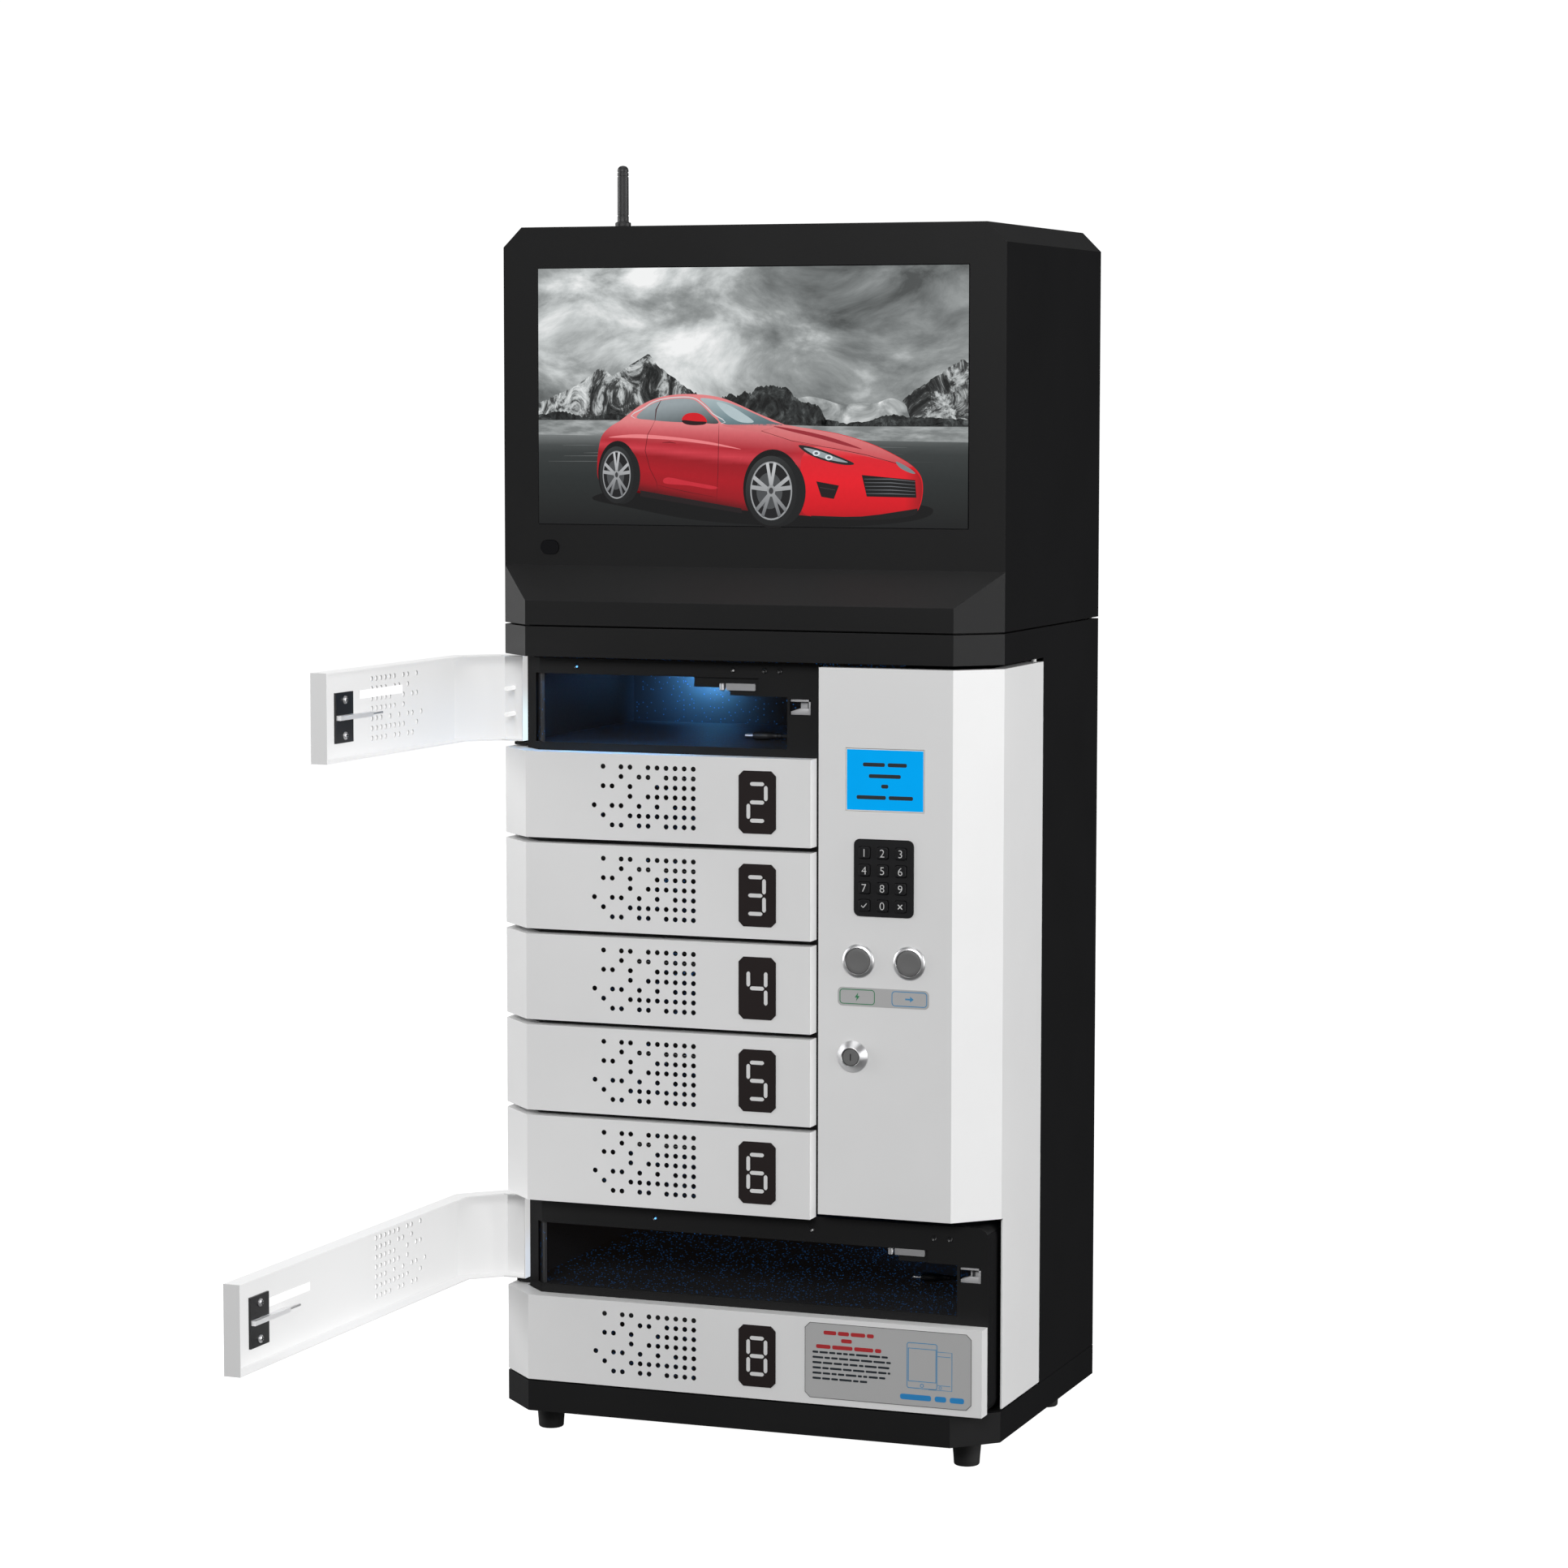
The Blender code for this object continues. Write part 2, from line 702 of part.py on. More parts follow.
def build_door(number):
    wide = number in WIDE_DOORS
    end = WIDE_DOOR_END if wide else NARROW_DOOR_END
    top = door_top(number)
    low = top - DOOR_HEIGHT
    door = prism_z(f"door_{number}", door_outline(end), low, top, "white_paint")
    hollow = prism_z(
        f"cut_door_{number}", tray_cut_outline(end), low + DOOR_SHEET, top - DOOR_SHEET,
        where=CUTTERS,
    )
    top_pin = TOP_PIN_LENGTH if number == 1 else PIN_LENGTH
    low_pin = FOOT_PIN_LENGTH if number == 8 else PIN_LENGTH
    pins = []
    for tag, start, stop in (
        ("top", top - 0.0005, top + top_pin),
        ("low", low - low_pin, low + 0.0005),
    ):
        spot = (HINGE_X, HINGE_Y)
        pin = rod(f"pin_{tag}_{number}", spot, PIN_RADIUS, start, stop, 16, where=CUTTERS)
        pins.append(pin)
    plate_left = end - 0.0612
    plate = box(
        f"striker_plate_{number}",
        (plate_left, plate_left + 0.0272),
        (-HALF_DEPTH + DOOR_SHEET - 0.0002, -HALF_DEPTH + DOOR_SHEET + 0.0018),
        (top - 0.0540, top - 0.0168),
        where=CUTTERS,
    )
    bar = box(
        f"striker_bar_{number}",
        (plate_left - 0.0258, plate_left + 0.0262),
        (-HALF_DEPTH + DOOR_SHEET + 0.0016, -HALF_DEPTH + DOOR_SHEET + 0.0052),
        (top - 0.0370, top - 0.0336),
        where=CUTTERS,
    )
    cut(door, hollow)
    join(door, *pins, plate, bar)
    if number in OPEN_DOORS:
        turn = -OPEN_ANGLE
    else:
        turn = 0.0
    point = (HINGE_X, HINGE_Y, low)
    for piece in (door, hollow, *pins, plate, bar):
        pivot(piece, point, turn)


def build_bolt(number):
    if number in WIDE_DOORS:
        right, drop, height = LOWER_OPENING_RIGHT, LOWER_BOLT_DROP, LOWER_BOLT_HEIGHT
    else:
        right, drop, height = UPPER_OPENING_RIGHT, UPPER_BOLT_DROP, UPPER_BOLT_HEIGHT
    top = door_top(number) - drop
    low = top - height
    xs = (right - BOLT_LEFT, right - BOLT_RIGHT)
    ys = (FRAME_FRONT + 0.0002, FRAME_FRONT + FRAME_SHEET - 0.0004)
    outline = rounded(*xs, low, top, 0.0008, 3)
    bolt = prism_y(f"latch_{number}", outline, *ys, "steel")
    pivot(bolt, (xs[0], ys[0], (low + top) / 2))


def service_outline(inset=0.0):
    """Closed plan ring of the service door's bent sheet, as outer points."""
    shift = inset * 0.41421
    return [
        (PANEL_LEFT + inset, -0.1245 + (0.01 if inset else 0.0)),
        (PANEL_LEFT + inset, -HALF_DEPTH + inset),
        (HALF_WIDTH - CHAMFER - shift, -HALF_DEPTH + inset),
        (HALF_WIDTH - inset, -HALF_DEPTH + CHAMFER + shift),
        (HALF_WIDTH - inset, PANEL_REAR - inset),
        (HALF_WIDTH - PANEL_FLANGE - (0.02 if inset else 0.0), PANEL_REAR - inset),
    ]


def build_service_door():
    low, high = BODY_BOTTOM + 0.0012, PANEL_TOP
    door = prism_z("service_door", service_outline(), low, high, "white_paint")
    hollow = prism_z("cut_service", service_outline(SHEET), 0.01, 0.70, where=CUTTERS)
    foot = box(
        "cut_service_foot", (0.05, 0.25), (-0.20, FLANGE_FRONT), (0.03, PANEL_BOTTOM),
        where=CUTTERS,
    )
    inner = HALF_WIDTH - PANEL_FLANGE
    top = prism_z(
        "service_top_return",
        [
            (0.0670, -0.1370), (0.1715, -0.1370), (0.2010, -0.1073),
            (0.2010, -0.0100), (inner, -0.0100), (inner, -0.1015),
            (0.1659, -0.1250), (0.0670, -0.1250),
        ],
        high - SHEET, high, where=CUTTERS,
    )
    block = box(
        "service_pivot_block", (inner + 0.0008, HALF_WIDTH - 0.0005), (-0.0205, -0.0105),
        (low, low + PIVOT_BLOCK), where=CUTTERS,
    )
    pins = []
    for tag, start, stop in (
        ("top", high - 0.0005, high + 0.0044),
        ("low", low - 0.0027, low + 0.0005),
    ):
        pin = rod(f"service_pin_{tag}", SERVICE_AXIS, PIN_RADIUS, start, stop, 16,
                  where=CUTTERS)
        pins.append(pin)
    cut(door, hollow, foot)
    join(door, top, block, *pins)
    cut(door, *service_holes())
    point = (*SERVICE_AXIS, low)
    for piece in (door, hollow, foot, top, block, *pins):
        pivot(piece, point)


def service_holes():
    lcd = box(
        "cut_lcd", (LCD_X[0] - GAP, LCD_X[1] + GAP), (-0.15, -0.13),
        (LCD_Z[0] - GAP, LCD_Z[1] + GAP), where=CUTTERS,
    )
    keypad = prism_y(
        "cut_keypad",
        rounded(
            KEYPAD_X[0] + 0.0015, KEYPAD_X[1] - 0.0015,
            KEYPAD_Z[0] + 0.0015, KEYPAD_Z[1] - 0.0015, 0.0025,
        ),
        -0.15, -0.13, where=CUTTERS,
    )
    holes = [lcd, keypad]
    for index, x in enumerate(BUTTON_X):
        holes.append(hole_y(f"cut_button_{index}", (x, BUTTON_Z), 0.0114, -0.15, -0.13))
    holes.append(hole_y("cut_cam_lock", (LOCK_X, LOCK_Z), 0.0090, -0.15, -0.13))
    return holes


def build_lcd():
    window = box("lcd_module", LCD_X, (-HALF_DEPTH + 0.0001, -0.1300), LCD_Z, "lcd")
    body = box(
        "lcd_body", (LCD_X[0] - 0.004, LCD_X[1] + 0.004), (-0.1357, -0.1265),
        (LCD_Z[0] - 0.006, LCD_Z[1] + 0.006), where=CUTTERS,
    )
    join(window, body)


def key_spots():
    spots = {}
    for index, key in enumerate(KEY_NAMES):
        row, column = divmod(index, 3)
        spots[key] = (KEY_COLUMNS[column], KEY_TOP_ROW - KEY_ROW_PITCH * row)
    return spots


def build_keypad():
    front = -HALF_DEPTH - 0.0010
    rim = prism_y(
        "keypad_plate", rounded(*KEYPAD_X, *KEYPAD_Z, 0.0045), front,
        -HALF_DEPTH - GAP, "black_plastic",
    )
    block = prism_y(
        "keypad_block",
        rounded(
            KEYPAD_X[0] + 0.0020, KEYPAD_X[1] - 0.0020,
            KEYPAD_Z[0] + 0.0020, KEYPAD_Z[1] - 0.0020, 0.0022,
        ),
        front + 0.0004, -0.1305, where=CUTTERS,
    )
    join(rim, block)
    half = KEY_SIZE / 2 + 0.0003
    for key, (x, z) in key_spots().items():
        hole = prism_y(
            f"cut_key_{key}", rounded(x - half, x + half, z - half, z + half, 0.0012, 2),
            -0.15, -0.12, where=CUTTERS,
        )
        cut(rim, hole)


def bevel(target, width, segments=1):
    step = target.modifiers.new("edges", "BEVEL")
    step.width = width
    step.segments = segments
    step.limit_method = "ANGLE"
    step.angle_limit = radians(60)


def build_key(key, spot):
    x, z = spot
    front = -HALF_DEPTH - 0.0026
    half = KEY_SIZE / 2
    outline = rounded(x - half, x + half, z - half, z + half, 0.0014, 2)
    made = prism_y(f"key_{key}", outline, front, -0.1310, "black_plastic")
    pivot(made, (x, front, z))
    bevel(made, 0.0005)


def build_buttons():
    for tag, x in zip(("left", "right"), BUTTON_X):
        centre = (x, BUTTON_Z)
        bezel = turned_front(
            f"button_bezel_{tag}",
            centre,
            (
                (-HALF_DEPTH - 0.0021, CAP_RADIUS + 0.0014),
                (-HALF_DEPTH - 0.0010, BUTTON_RADIUS),
                (-HALF_DEPTH - GAP, BUTTON_RADIUS),
                (-HALF_DEPTH - GAP, 0.0110),
                (-0.1180, 0.0110),
            ),
            "chrome",
        )
        bore = hole_y(f"cut_bezel_{tag}", centre, CAP_RADIUS + GAP, -0.15, -0.1200, 28)
        cut(bezel, bore)
        turned_front(
            f"button_cap_{tag}",
            centre,
            (
                (-HALF_DEPTH - 0.0019, CAP_RADIUS - 0.0006),
                (-HALF_DEPTH - 0.0013, CAP_RADIUS),
                (-0.1240, CAP_RADIUS),
            ),
            "steel",
        )


def build_cam_lock():
    centre = (LOCK_X, LOCK_Z)
    barrel = turned_front(
        "lock_barrel",
        centre,
        (
            (-HALF_DEPTH - 0.0052, 0.0082),
            (-HALF_DEPTH - 0.0046, 0.0088),
            (-HALF_DEPTH - 0.0016, LOCK_RADIUS),
            (-HALF_DEPTH - GAP, LOCK_RADIUS),
            (-HALF_DEPTH - GAP, 0.0086),
            (-0.1196, 0.0086),
        ),
        "chrome",
    )
    cut(barrel, hole_y("cut_barrel", centre, PLUG_RADIUS + GAP, -0.15, -0.10, 28))
    plug = turned_front(
        "lock_plug",
        centre,
        (
            (-HALF_DEPTH - 0.0049, PLUG_RADIUS - 0.0004),
            (-HALF_DEPTH - 0.0045, PLUG_RADIUS),
            (-0.1172, PLUG_RADIUS),
        ),
        "steel",
    )
    keyway = box(
        "cut_keyway", (LOCK_X - 0.0004, LOCK_X + 0.0004), (-0.15, -0.1400),
        (LOCK_Z - 0.0026, LOCK_Z + 0.0026), where=CUTTERS,
    )
    cam = prism_y(
        "lock_cam",
        rounded(LOCK_X - 0.006, LOCK_X + 0.006, LOCK_Z - CAM_LENGTH, LOCK_Z + 0.006, 0.004),
        -0.1191, -0.1171, where=CUTTERS,
    )
    cut(plug, keyway)
    join(plug, cam)


def head_side(inset):
    """Side view of the head: upright face, sloped fascia and a short front edge."""
    front = -HALF_DEPTH + inset
    face = -HALF_DEPTH + CHAMFER + inset
    rear = HALF_DEPTH - inset
    drop = inset * 0.52
    return [
        (front, HEAD_BOTTOM + inset), (rear, HEAD_BOTTOM + inset),
        (rear, HEAD_TOP - inset), (face, HEAD_TOP - inset),
        (face, FACE_BOTTOM - drop), (front, FASCIA_TOP - drop),
    ]


def corner_cutters(inset, tag):
    """Wedges that take off the chamfered front corners and the cut top corners."""
    edge = HALF_WIDTH + HALF_DEPTH - CHAMFER - inset * 1.41421
    drop = HALF_WIDTH + HEAD_TOP - HEAD_CUT - inset * 1.41421
    wedges = []
    for sign, side in ((-1, "left"), (1, "right")):
        corner = [(sign * (edge - 0.2), -0.2), (sign * 0.3, -0.2), (sign * 0.3, 0.3 - edge)]
        top = [(sign * (drop - 1.0), 1.0), (sign * 0.3, 1.0), (sign * 0.3, drop - 0.3)]
        wedges.append(prism_z(f"cut_{tag}_corner_{side}", corner, 0.6, 0.96, where=CUTTERS))
        wedges.append(prism_y(f"cut_{tag}_top_{side}", top, -0.2, 0.2, where=CUTTERS))
    return wedges


def build_head():
    head = prism_x("head_shell", head_side(0.0), -HALF_WIDTH, HALF_WIDTH, "black_paint")
    hollow = prism_x(
        "cut_head", head_side(SHEET), SHEET - HALF_WIDTH, HALF_WIDTH - SHEET, where=CUTTERS
    )
    cut(hollow, *corner_cutters(SHEET, "inner"))
    seat = prism_z(
        "head_seat", body_outline(0.004), BODY_TOP + GAP, HEAD_BOTTOM + 0.0008,
        where=CUTTERS,
    )
    cut(head, hollow, *corner_cutters(0.0, "outer"))
    join(head, seat)
    screen = box(
        "cut_screen", (-DISPLAY_X - GAP, DISPLAY_X + GAP), (-0.12, -0.10),
        (DISPLAY_Z[0] - GAP, DISPLAY_Z[1] + GAP), where=CUTTERS,
    )
    window = window_solid("cut_window", 0.0002, -0.12, -0.10, None, CUTTERS)
    vent = box(
        "cut_head_rear", (-0.12, 0.12), (0.12, 0.15), (0.70, 0.86), where=CUTTERS
    )
    lead = rod("cut_head_lead", LEAD_WAY, 0.018, 0.60, 0.65, where=CUTTERS)
    aerial = rod(
        "cut_head_aerial", (ANTENNA_X, ANTENNA_Y), 0.0030, 0.90, 0.95, where=CUTTERS
    )
    cut(head, screen, window, vent, lead, aerial)


def build_head_cover():
    cover = prism_y(
        "head_rear_cover", rounded(-0.13, 0.13, 0.69, 0.87, 0.006), HALF_DEPTH + GAP,
        HALF_DEPTH + GAP + SHEET, "black_paint",
    )
    for row in range(5):
        z = 0.80 + 0.012 * row
        slot = prism_y(
            f"cut_head_louvre_{row}", rounded(-0.05, 0.05, z, z + 0.0045, 0.0022, 3),
            0.13, 0.15, where=CUTTERS,
        )
        cut(cover, slot)


def build_display():
    face = -HALF_DEPTH + CHAMFER
    xs = (-DISPLAY_X, DISPLAY_X)
    pane = box("display_panel", xs, (face + 0.0001, face + 0.0080), DISPLAY_Z, "glass")
    body = box(
        "display_body", (-0.1830, 0.1830), (face + 0.0018, face + 0.0150),
        (DISPLAY_Z[0] - 0.005, DISPLAY_Z[1] + 0.005), where=CUTTERS,
    )
    join(pane, body)


def window_solid(name, grow, near, far, look, where):
    width, height = WINDOW_SIZE
    x, z = WINDOW_CENTRE
    outline = rounded(
        x - width / 2 - grow, x + width / 2 + grow,
        z - height / 2 - grow, z + height / 2 + grow, height / 2 - 0.0002 + grow, 8,
    )
    return prism_y(name, outline, near, far, look, where)


def build_window():
    face = -HALF_DEPTH + CHAMFER
    window_solid("sensor_window", 0.0, face - 0.0004, face + 0.0030, "glass", PARTS)


def build_antenna():
    low = HEAD_TOP + GAP
    profile = (
        (ANTENNA_TOP, 0.0018),
        (ANTENNA_TOP - 0.0012, 0.0034),
        (ANTENNA_TOP - 0.0030, 0.0041),
        (low + 0.0040, 0.0043),
        (low + 0.0030, 0.0060),
        (low, 0.0060),
        (low, 0.0026),
        (HEAD_TOP - 0.0060, 0.0026),
    )
    turned("antenna", (ANTENNA_X, ANTENNA_Y, 0.0), profile, "black_plastic", 24)


def build_power_units():
    supply = box(
        "power_supply", (0.085, 0.170), (0.103, 0.1350), (0.215, 0.325), "steel"
    )
    for index, z in enumerate((0.2090, 0.3250)):
        ear = box(
            f"supply_ear_{index}", (0.110, 0.145), (0.1338, 0.1355), (z - 0.001, z + 0.007),
            where=CUTTERS,
        )
        join(supply, ear)
    inlet = box(
        "power_inlet", (0.1150, 0.1450), (0.1200, 0.1375), (0.0750, 0.1000),
        "black_plastic",
    )
    flange = box(
        "inlet_flange", (0.1110, 0.1490), (0.1378, 0.1396), (0.0710, 0.1040),
        where=CUTTERS,
    )
    throat = box(
        "inlet_throat", (0.1150, 0.1450), (0.1370, 0.1380), (0.0750, 0.1000),
        where=CUTTERS,
    )
    socket = box(
        "cut_inlet", (0.1185, 0.1415), (0.1300, 0.1500), (0.0790, 0.0960), where=CUTTERS
    )
    join(inlet, throat, flange)
    cut(inlet, socket)


def build_control_board():
    board = box("control_board", (0.0580, 0.0596), (-0.080, 0.060), (0.33, 0.54), "board")
    for index, y in enumerate((-0.074, 0.054)):
        for level, z in enumerate((0.336, 0.534)):
            post = box(
                f"post_{index}_{level}", (0.0538, 0.0588), (y - 0.002, y + 0.002),
                (z - 0.002, z + 0.002), where=CUTTERS,
            )
            join(board, post)
    chips = (((-0.06, 0.00), (0.36, 0.42)), ((-0.05, 0.03), (0.46, 0.51)))
    for index, (ys, zs) in enumerate(chips):
        join(board, box(f"chip_{index}", (0.0590, 0.0660), ys, zs, where=CUTTERS))


def build_lead(name, points):
    curve = bpy.data.curves.new(name, "CURVE")
    curve.dimensions = "3D"
    curve.bevel_depth = LEAD_RADIUS
    curve.bevel_resolution = 2
    curve.use_fill_caps = True
    spline = curve.splines.new("POLY")
    spline.points.add(len(points) - 1)
    for spot, point in zip(spline.points, points):
        spot.co = (*point, 1.0)
    curve.materials.append(MATERIALS["rubber"])
    made = bpy.data.objects.new(name, curve)
    PARTS.objects.link(made)


def loft(name, loops, look):
    """Solid through unlike sections of equal point count, capped at both ends."""
    mesh_data = bmesh.new()
    rings = [[mesh_data.verts.new(point) for point in loop] for loop in loops]
    mesh_data.faces.new(list(reversed(rings[0])))
    mesh_data.faces.new(rings[-1])
    count = len(rings[0])
    for low, high in zip(rings, rings[1:]):
        for i in range(count):
            j = (i + 1) % count
            mesh_data.faces.new((low[i], low[j], high[j], high[i]))
    bmesh.ops.recalc_face_normals(mesh_data, faces=mesh_data.faces[:])
    return link(name, mesh_data, None, look)


def build_plug(name, tail, angle):
    """Charging connector lying along its lead: metal tongue, then a moulded grip."""
    sections = (
        (0.0290, 0.0038, 0.0013), (0.0284, 0.0041, 0.0013), (0.0222, 0.0041, 0.0013),
        (0.0220, 0.0052, 0.0026), (0.0205, 0.0055, 0.0030), (0.0120, 0.0055, 0.0030),
        (0.0050, 0.0023, 0.0021), (0.0, 0.0019, 0.0019),
    )
    loops = []
    for station, wide, high in sections:
        ring = rounded(-wide, wide, -high, high, high * 0.9, 3)
        loops.append(
            [
                (
                    tail[0] - station * cos(angle) - a * sin(angle),
                    tail[1] - station * sin(angle) + a * cos(angle),
                    tail[2] + b,
                )
                for a, b in ring
            ]
        )
    loft(name, loops, "black_plastic")


def lead_route(tail, end, angle):
    """Smooth route from a plug's tail to the grommet in the rack's right wall."""
    reach = (end[0] - tail[0]) * 0.45
    points = []
    for step in range(9):
        t = step / 8
        ways = (
            (tail[0], tail[1]),
            (tail[0] + reach * cos(angle), tail[1] + reach * sin(angle)),
            (end[0] - reach, end[1]),
            end,
        )
        weights = ((1 - t) ** 3, 3 * t * (1 - t) ** 2, 3 * t * t * (1 - t), t**3)
        x = sum(weight * way[0] for weight, way in zip(weights, ways))
        y = sum(weight * way[1] for weight, way in zip(weights, ways))
        points.append((x, y, tail[2] - LEAD_SAG * sin(pi * t) ** 2))
    return points


def build_leads():
    for number, tail, angle, wall in LEADS:
        lip = LOWER_LIP if number in WIDE_DOORS else UPPER_LIP
        level = door_top(number) - DOOR_HEIGHT + lip + PLUG_REST
        build_plug(f"charge_plug_{number}", (*tail, level), radians(angle))
        start = (
            tail[0] + GAP * cos(radians(angle)), tail[1] + GAP * sin(radians(angle)), level
        )
        end = (wall - SHEET - GROMMET_DEPTH - GAP, tail[1] + 0.003)
        build_lead(f"charge_lead_{number}", lead_route(start, end, radians(angle)))


def main():
    build_plinth()
    build_feet()
    build_cabinet()
    build_rear_cover()
    build_upper_frame()
    build_lower_frame()
    build_racks()
    for number in range(1, 9):
        build_door(number)
        build_bolt(number)
    build_service_door()
    build_lcd()
    build_keypad()
    for key, spot in key_spots().items():
        build_key(key, spot)
    build_buttons()
    build_cam_lock()
    build_head()
    build_head_cover()
    build_display()
    build_window()
    build_antenna()
    build_power_units()
    build_control_board()
    build_leads()


main()
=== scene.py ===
import json
import math
import random

import bmesh
import bpy
from mathutils import Matrix, Vector


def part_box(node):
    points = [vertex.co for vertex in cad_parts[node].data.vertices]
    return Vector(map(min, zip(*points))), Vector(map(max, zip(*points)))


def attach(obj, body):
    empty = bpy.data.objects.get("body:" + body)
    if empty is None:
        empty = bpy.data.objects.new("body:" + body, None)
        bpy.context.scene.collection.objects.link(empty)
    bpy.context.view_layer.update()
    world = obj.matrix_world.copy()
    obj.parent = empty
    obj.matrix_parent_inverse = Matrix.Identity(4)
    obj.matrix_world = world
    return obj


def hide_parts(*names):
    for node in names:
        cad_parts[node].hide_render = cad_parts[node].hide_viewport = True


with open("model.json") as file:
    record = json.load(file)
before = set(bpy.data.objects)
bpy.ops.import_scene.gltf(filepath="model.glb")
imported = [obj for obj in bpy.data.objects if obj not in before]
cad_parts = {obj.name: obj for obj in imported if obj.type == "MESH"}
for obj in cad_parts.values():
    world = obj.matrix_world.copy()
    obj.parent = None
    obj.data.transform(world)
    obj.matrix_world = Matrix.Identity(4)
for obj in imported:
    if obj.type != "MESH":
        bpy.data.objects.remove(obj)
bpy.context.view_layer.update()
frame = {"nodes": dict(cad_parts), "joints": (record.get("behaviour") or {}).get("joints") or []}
NODES = frame["nodes"]
JOINTS = {joint["name"]: joint for joint in frame["joints"]}

MM = 0.001
OPEN_DOORS = (1, 7)
WIDE_DOORS = (7, 8)
DOOR_HEIGHT = 0.0661
FRONT = -0.1375
FRAME_FRONT = -0.1238
DOOR_PITCH = 0.0702
SERVICE = "service_panel"
WORLD = 0.09
FLOOR = 1.0
RIM = 0.07
WHITE = (1, 1, 1)
BLUE = (0.12, 0.46, 1.0)
# name, degrees right of the front, distance, height, size, watts
LIGHTS = (
    ("right", 94, 3.4, 1.0, (1.8, 2.4), 90),
    ("right_front", 50, 3.4, 0.7, (1.6, 1.8), 15),
    ("left", -80, 3.4, 1.2, (2.2, 2.4), 76),
    ("far_left", -112, 3.4, 1.2, (2.0, 2.4), 10),
    ("front", 5, 3.4, 2.0, (2.0, 1.2), 71),
    ("top", 0, 0.2, 3.4, (2.2, 1.6), 22),
    ("back", -150, 3.4, 1.6, (2.4, 2.4), 16),
)
# name, place, target, watts, cone in degrees, blend, radius, colour
SPOTS = (
    ("door_1_spot", (3.0, -1.60, 1.15), (-0.235, -0.145, 0.588), 90, 6.2, 0.6, 0.25, WHITE),
    ("door_7_spot", (3.0, -1.70, 0.70), (-0.240, -0.19, 0.150), 90, 7.6, 0.6, 0.25, WHITE),
    ("locker_1_glow", (-0.1190, 0.0620, 0.5845), (-0.1230, 0.0985, 0.5720), 0.90, 135, 1.0,
     0.004, BLUE),
    ("locker_7_glow", (0.0700, 0.0300, 0.1740), (0.0700, 0.0985, 0.1500), 0.05, 135, 1.0,
     0.004, BLUE),
)


# ---------------------------------------------------------------- camera and light

def add_object(name, data):
    made = bpy.data.objects.new(name, data)
    bpy.context.scene.collection.objects.link(made)
    return made


def aim(obj, direction, roll=0.0):
    """Points an object's -Z along a direction, with +Z of the world up."""
    turn = Vector(direction).to_track_quat("-Z", "Y").to_matrix().to_4x4()
    place = Matrix.Translation(obj.location)
    obj.matrix_world = place @ turn @ Matrix.Rotation(math.radians(roll), 4, "Z")


def add_camera():
    yaw = math.radians(20.48)
    pitch = math.radians(5.20)
    data = bpy.data.cameras.new("camera")
    data.lens = 98.31
    data.sensor_width = 36.0
    data.clip_end = 50.0
    cam = add_object("camera", data)
    cam.location = (1.1526, -3.1190, 0.8050)
    flat = math.cos(pitch)
    aim(cam, (-math.sin(yaw) * flat, math.cos(yaw) * flat, -math.sin(pitch)), 0.06)
    bpy.context.scene.camera = cam


def area_light(name, place, target, size, power, colour=WHITE):
    data = bpy.data.lights.new(name, "AREA")
    data.energy = power
    data.color = colour
    data.shape = "RECTANGLE"
    data.size, data.size_y = size
    lamp = add_object(name, data)
    lamp.location = place
    aim(lamp, Vector(target) - Vector(place))
    return lamp


def spot_light(name, place, target, power, cone, blend, radius, colour):
    data = bpy.data.lights.new(name, "SPOT")
    data.energy = power
    data.color = colour
    data.spot_size = math.radians(cone)
    data.spot_blend = blend
    data.shadow_soft_size = radius
    lamp = add_object(name, data)
    lamp.location = place
    aim(lamp, Vector(target) - Vector(place))


def add_world():
    """Soft grey studio; what the camera sees past the floor is plain white."""
    world = bpy.data.worlds.new("studio")
    bpy.context.scene.world = world
    world.use_nodes = True
    tree = world.node_tree
    tree.nodes.clear()
    room = add_node(tree, "Background", {"Color": (0.98, 0.99, 1.0, 1), "Strength": WORLD})
    white = add_node(tree, "Background", {"Color": (1, 1, 1, 1), "Strength": 1.05})
    seen = add_node(tree, "LightPath").outputs["Is Camera Ray"]
    mix = add_node(tree, "MixShader", {0: seen, 1: room.outputs[0], 2: white.outputs[0]})
    add_node(tree, "OutputWorld", {"Surface": mix.outputs[0]})


def add_lights():
    """Soft studio lamps, a narrow one on each open door, and the lockers' own blue lamps."""
    for name, turn, reach, height, size, power in LIGHTS:
        angle = math.radians(turn)
        place = (reach * math.sin(angle), -reach * math.cos(angle), height)
        area_light(name, place, (0, 0, 0.5), size, power)
    for spot in SPOTS:
        spot_light(*spot)
    rim = area_light("locker_1_rim", (-0.105, -0.1300, 0.5880), (-0.105, -0.1325, 0.5340),
                     (0.120, 0.003), RIM, BLUE)
    rim.visible_camera = False


def add_floor():
    data = bpy.data.meshes.new("floor")
    body = bmesh.new()
    bmesh.ops.create_circle(body, cap_ends=True, radius=9.0, segments=96)
    body.to_mesh(data)
    body.free()
    floor = add_object("floor", data)
    floor.location.z = -0.0003
    paint = plain("floor_paint", (0.30, 0.30, 0.30), 0.9)
    self_lit(paint, FLOOR)
    data.materials.append(paint)
    floor.visible_diffuse = False
    floor.visible_glossy = False


# ---------------------------------------------------------------- materials

def set_inputs(tree, node, inputs):
    """Gives each input its value, or links it to the socket that drives it."""
    for key, value in inputs.items():
        if isinstance(value, bpy.types.NodeSocket):
            tree.links.new(value, node.inputs[key])
        else:
            node.inputs[key].default_value = value


def add_node(tree, kind, inputs=None, **settings):
    node = tree.nodes.new(f"ShaderNode{kind}")
    for name, value in settings.items():
        setattr(node, name, value)
    set_inputs(tree, node, inputs or {})
    return node


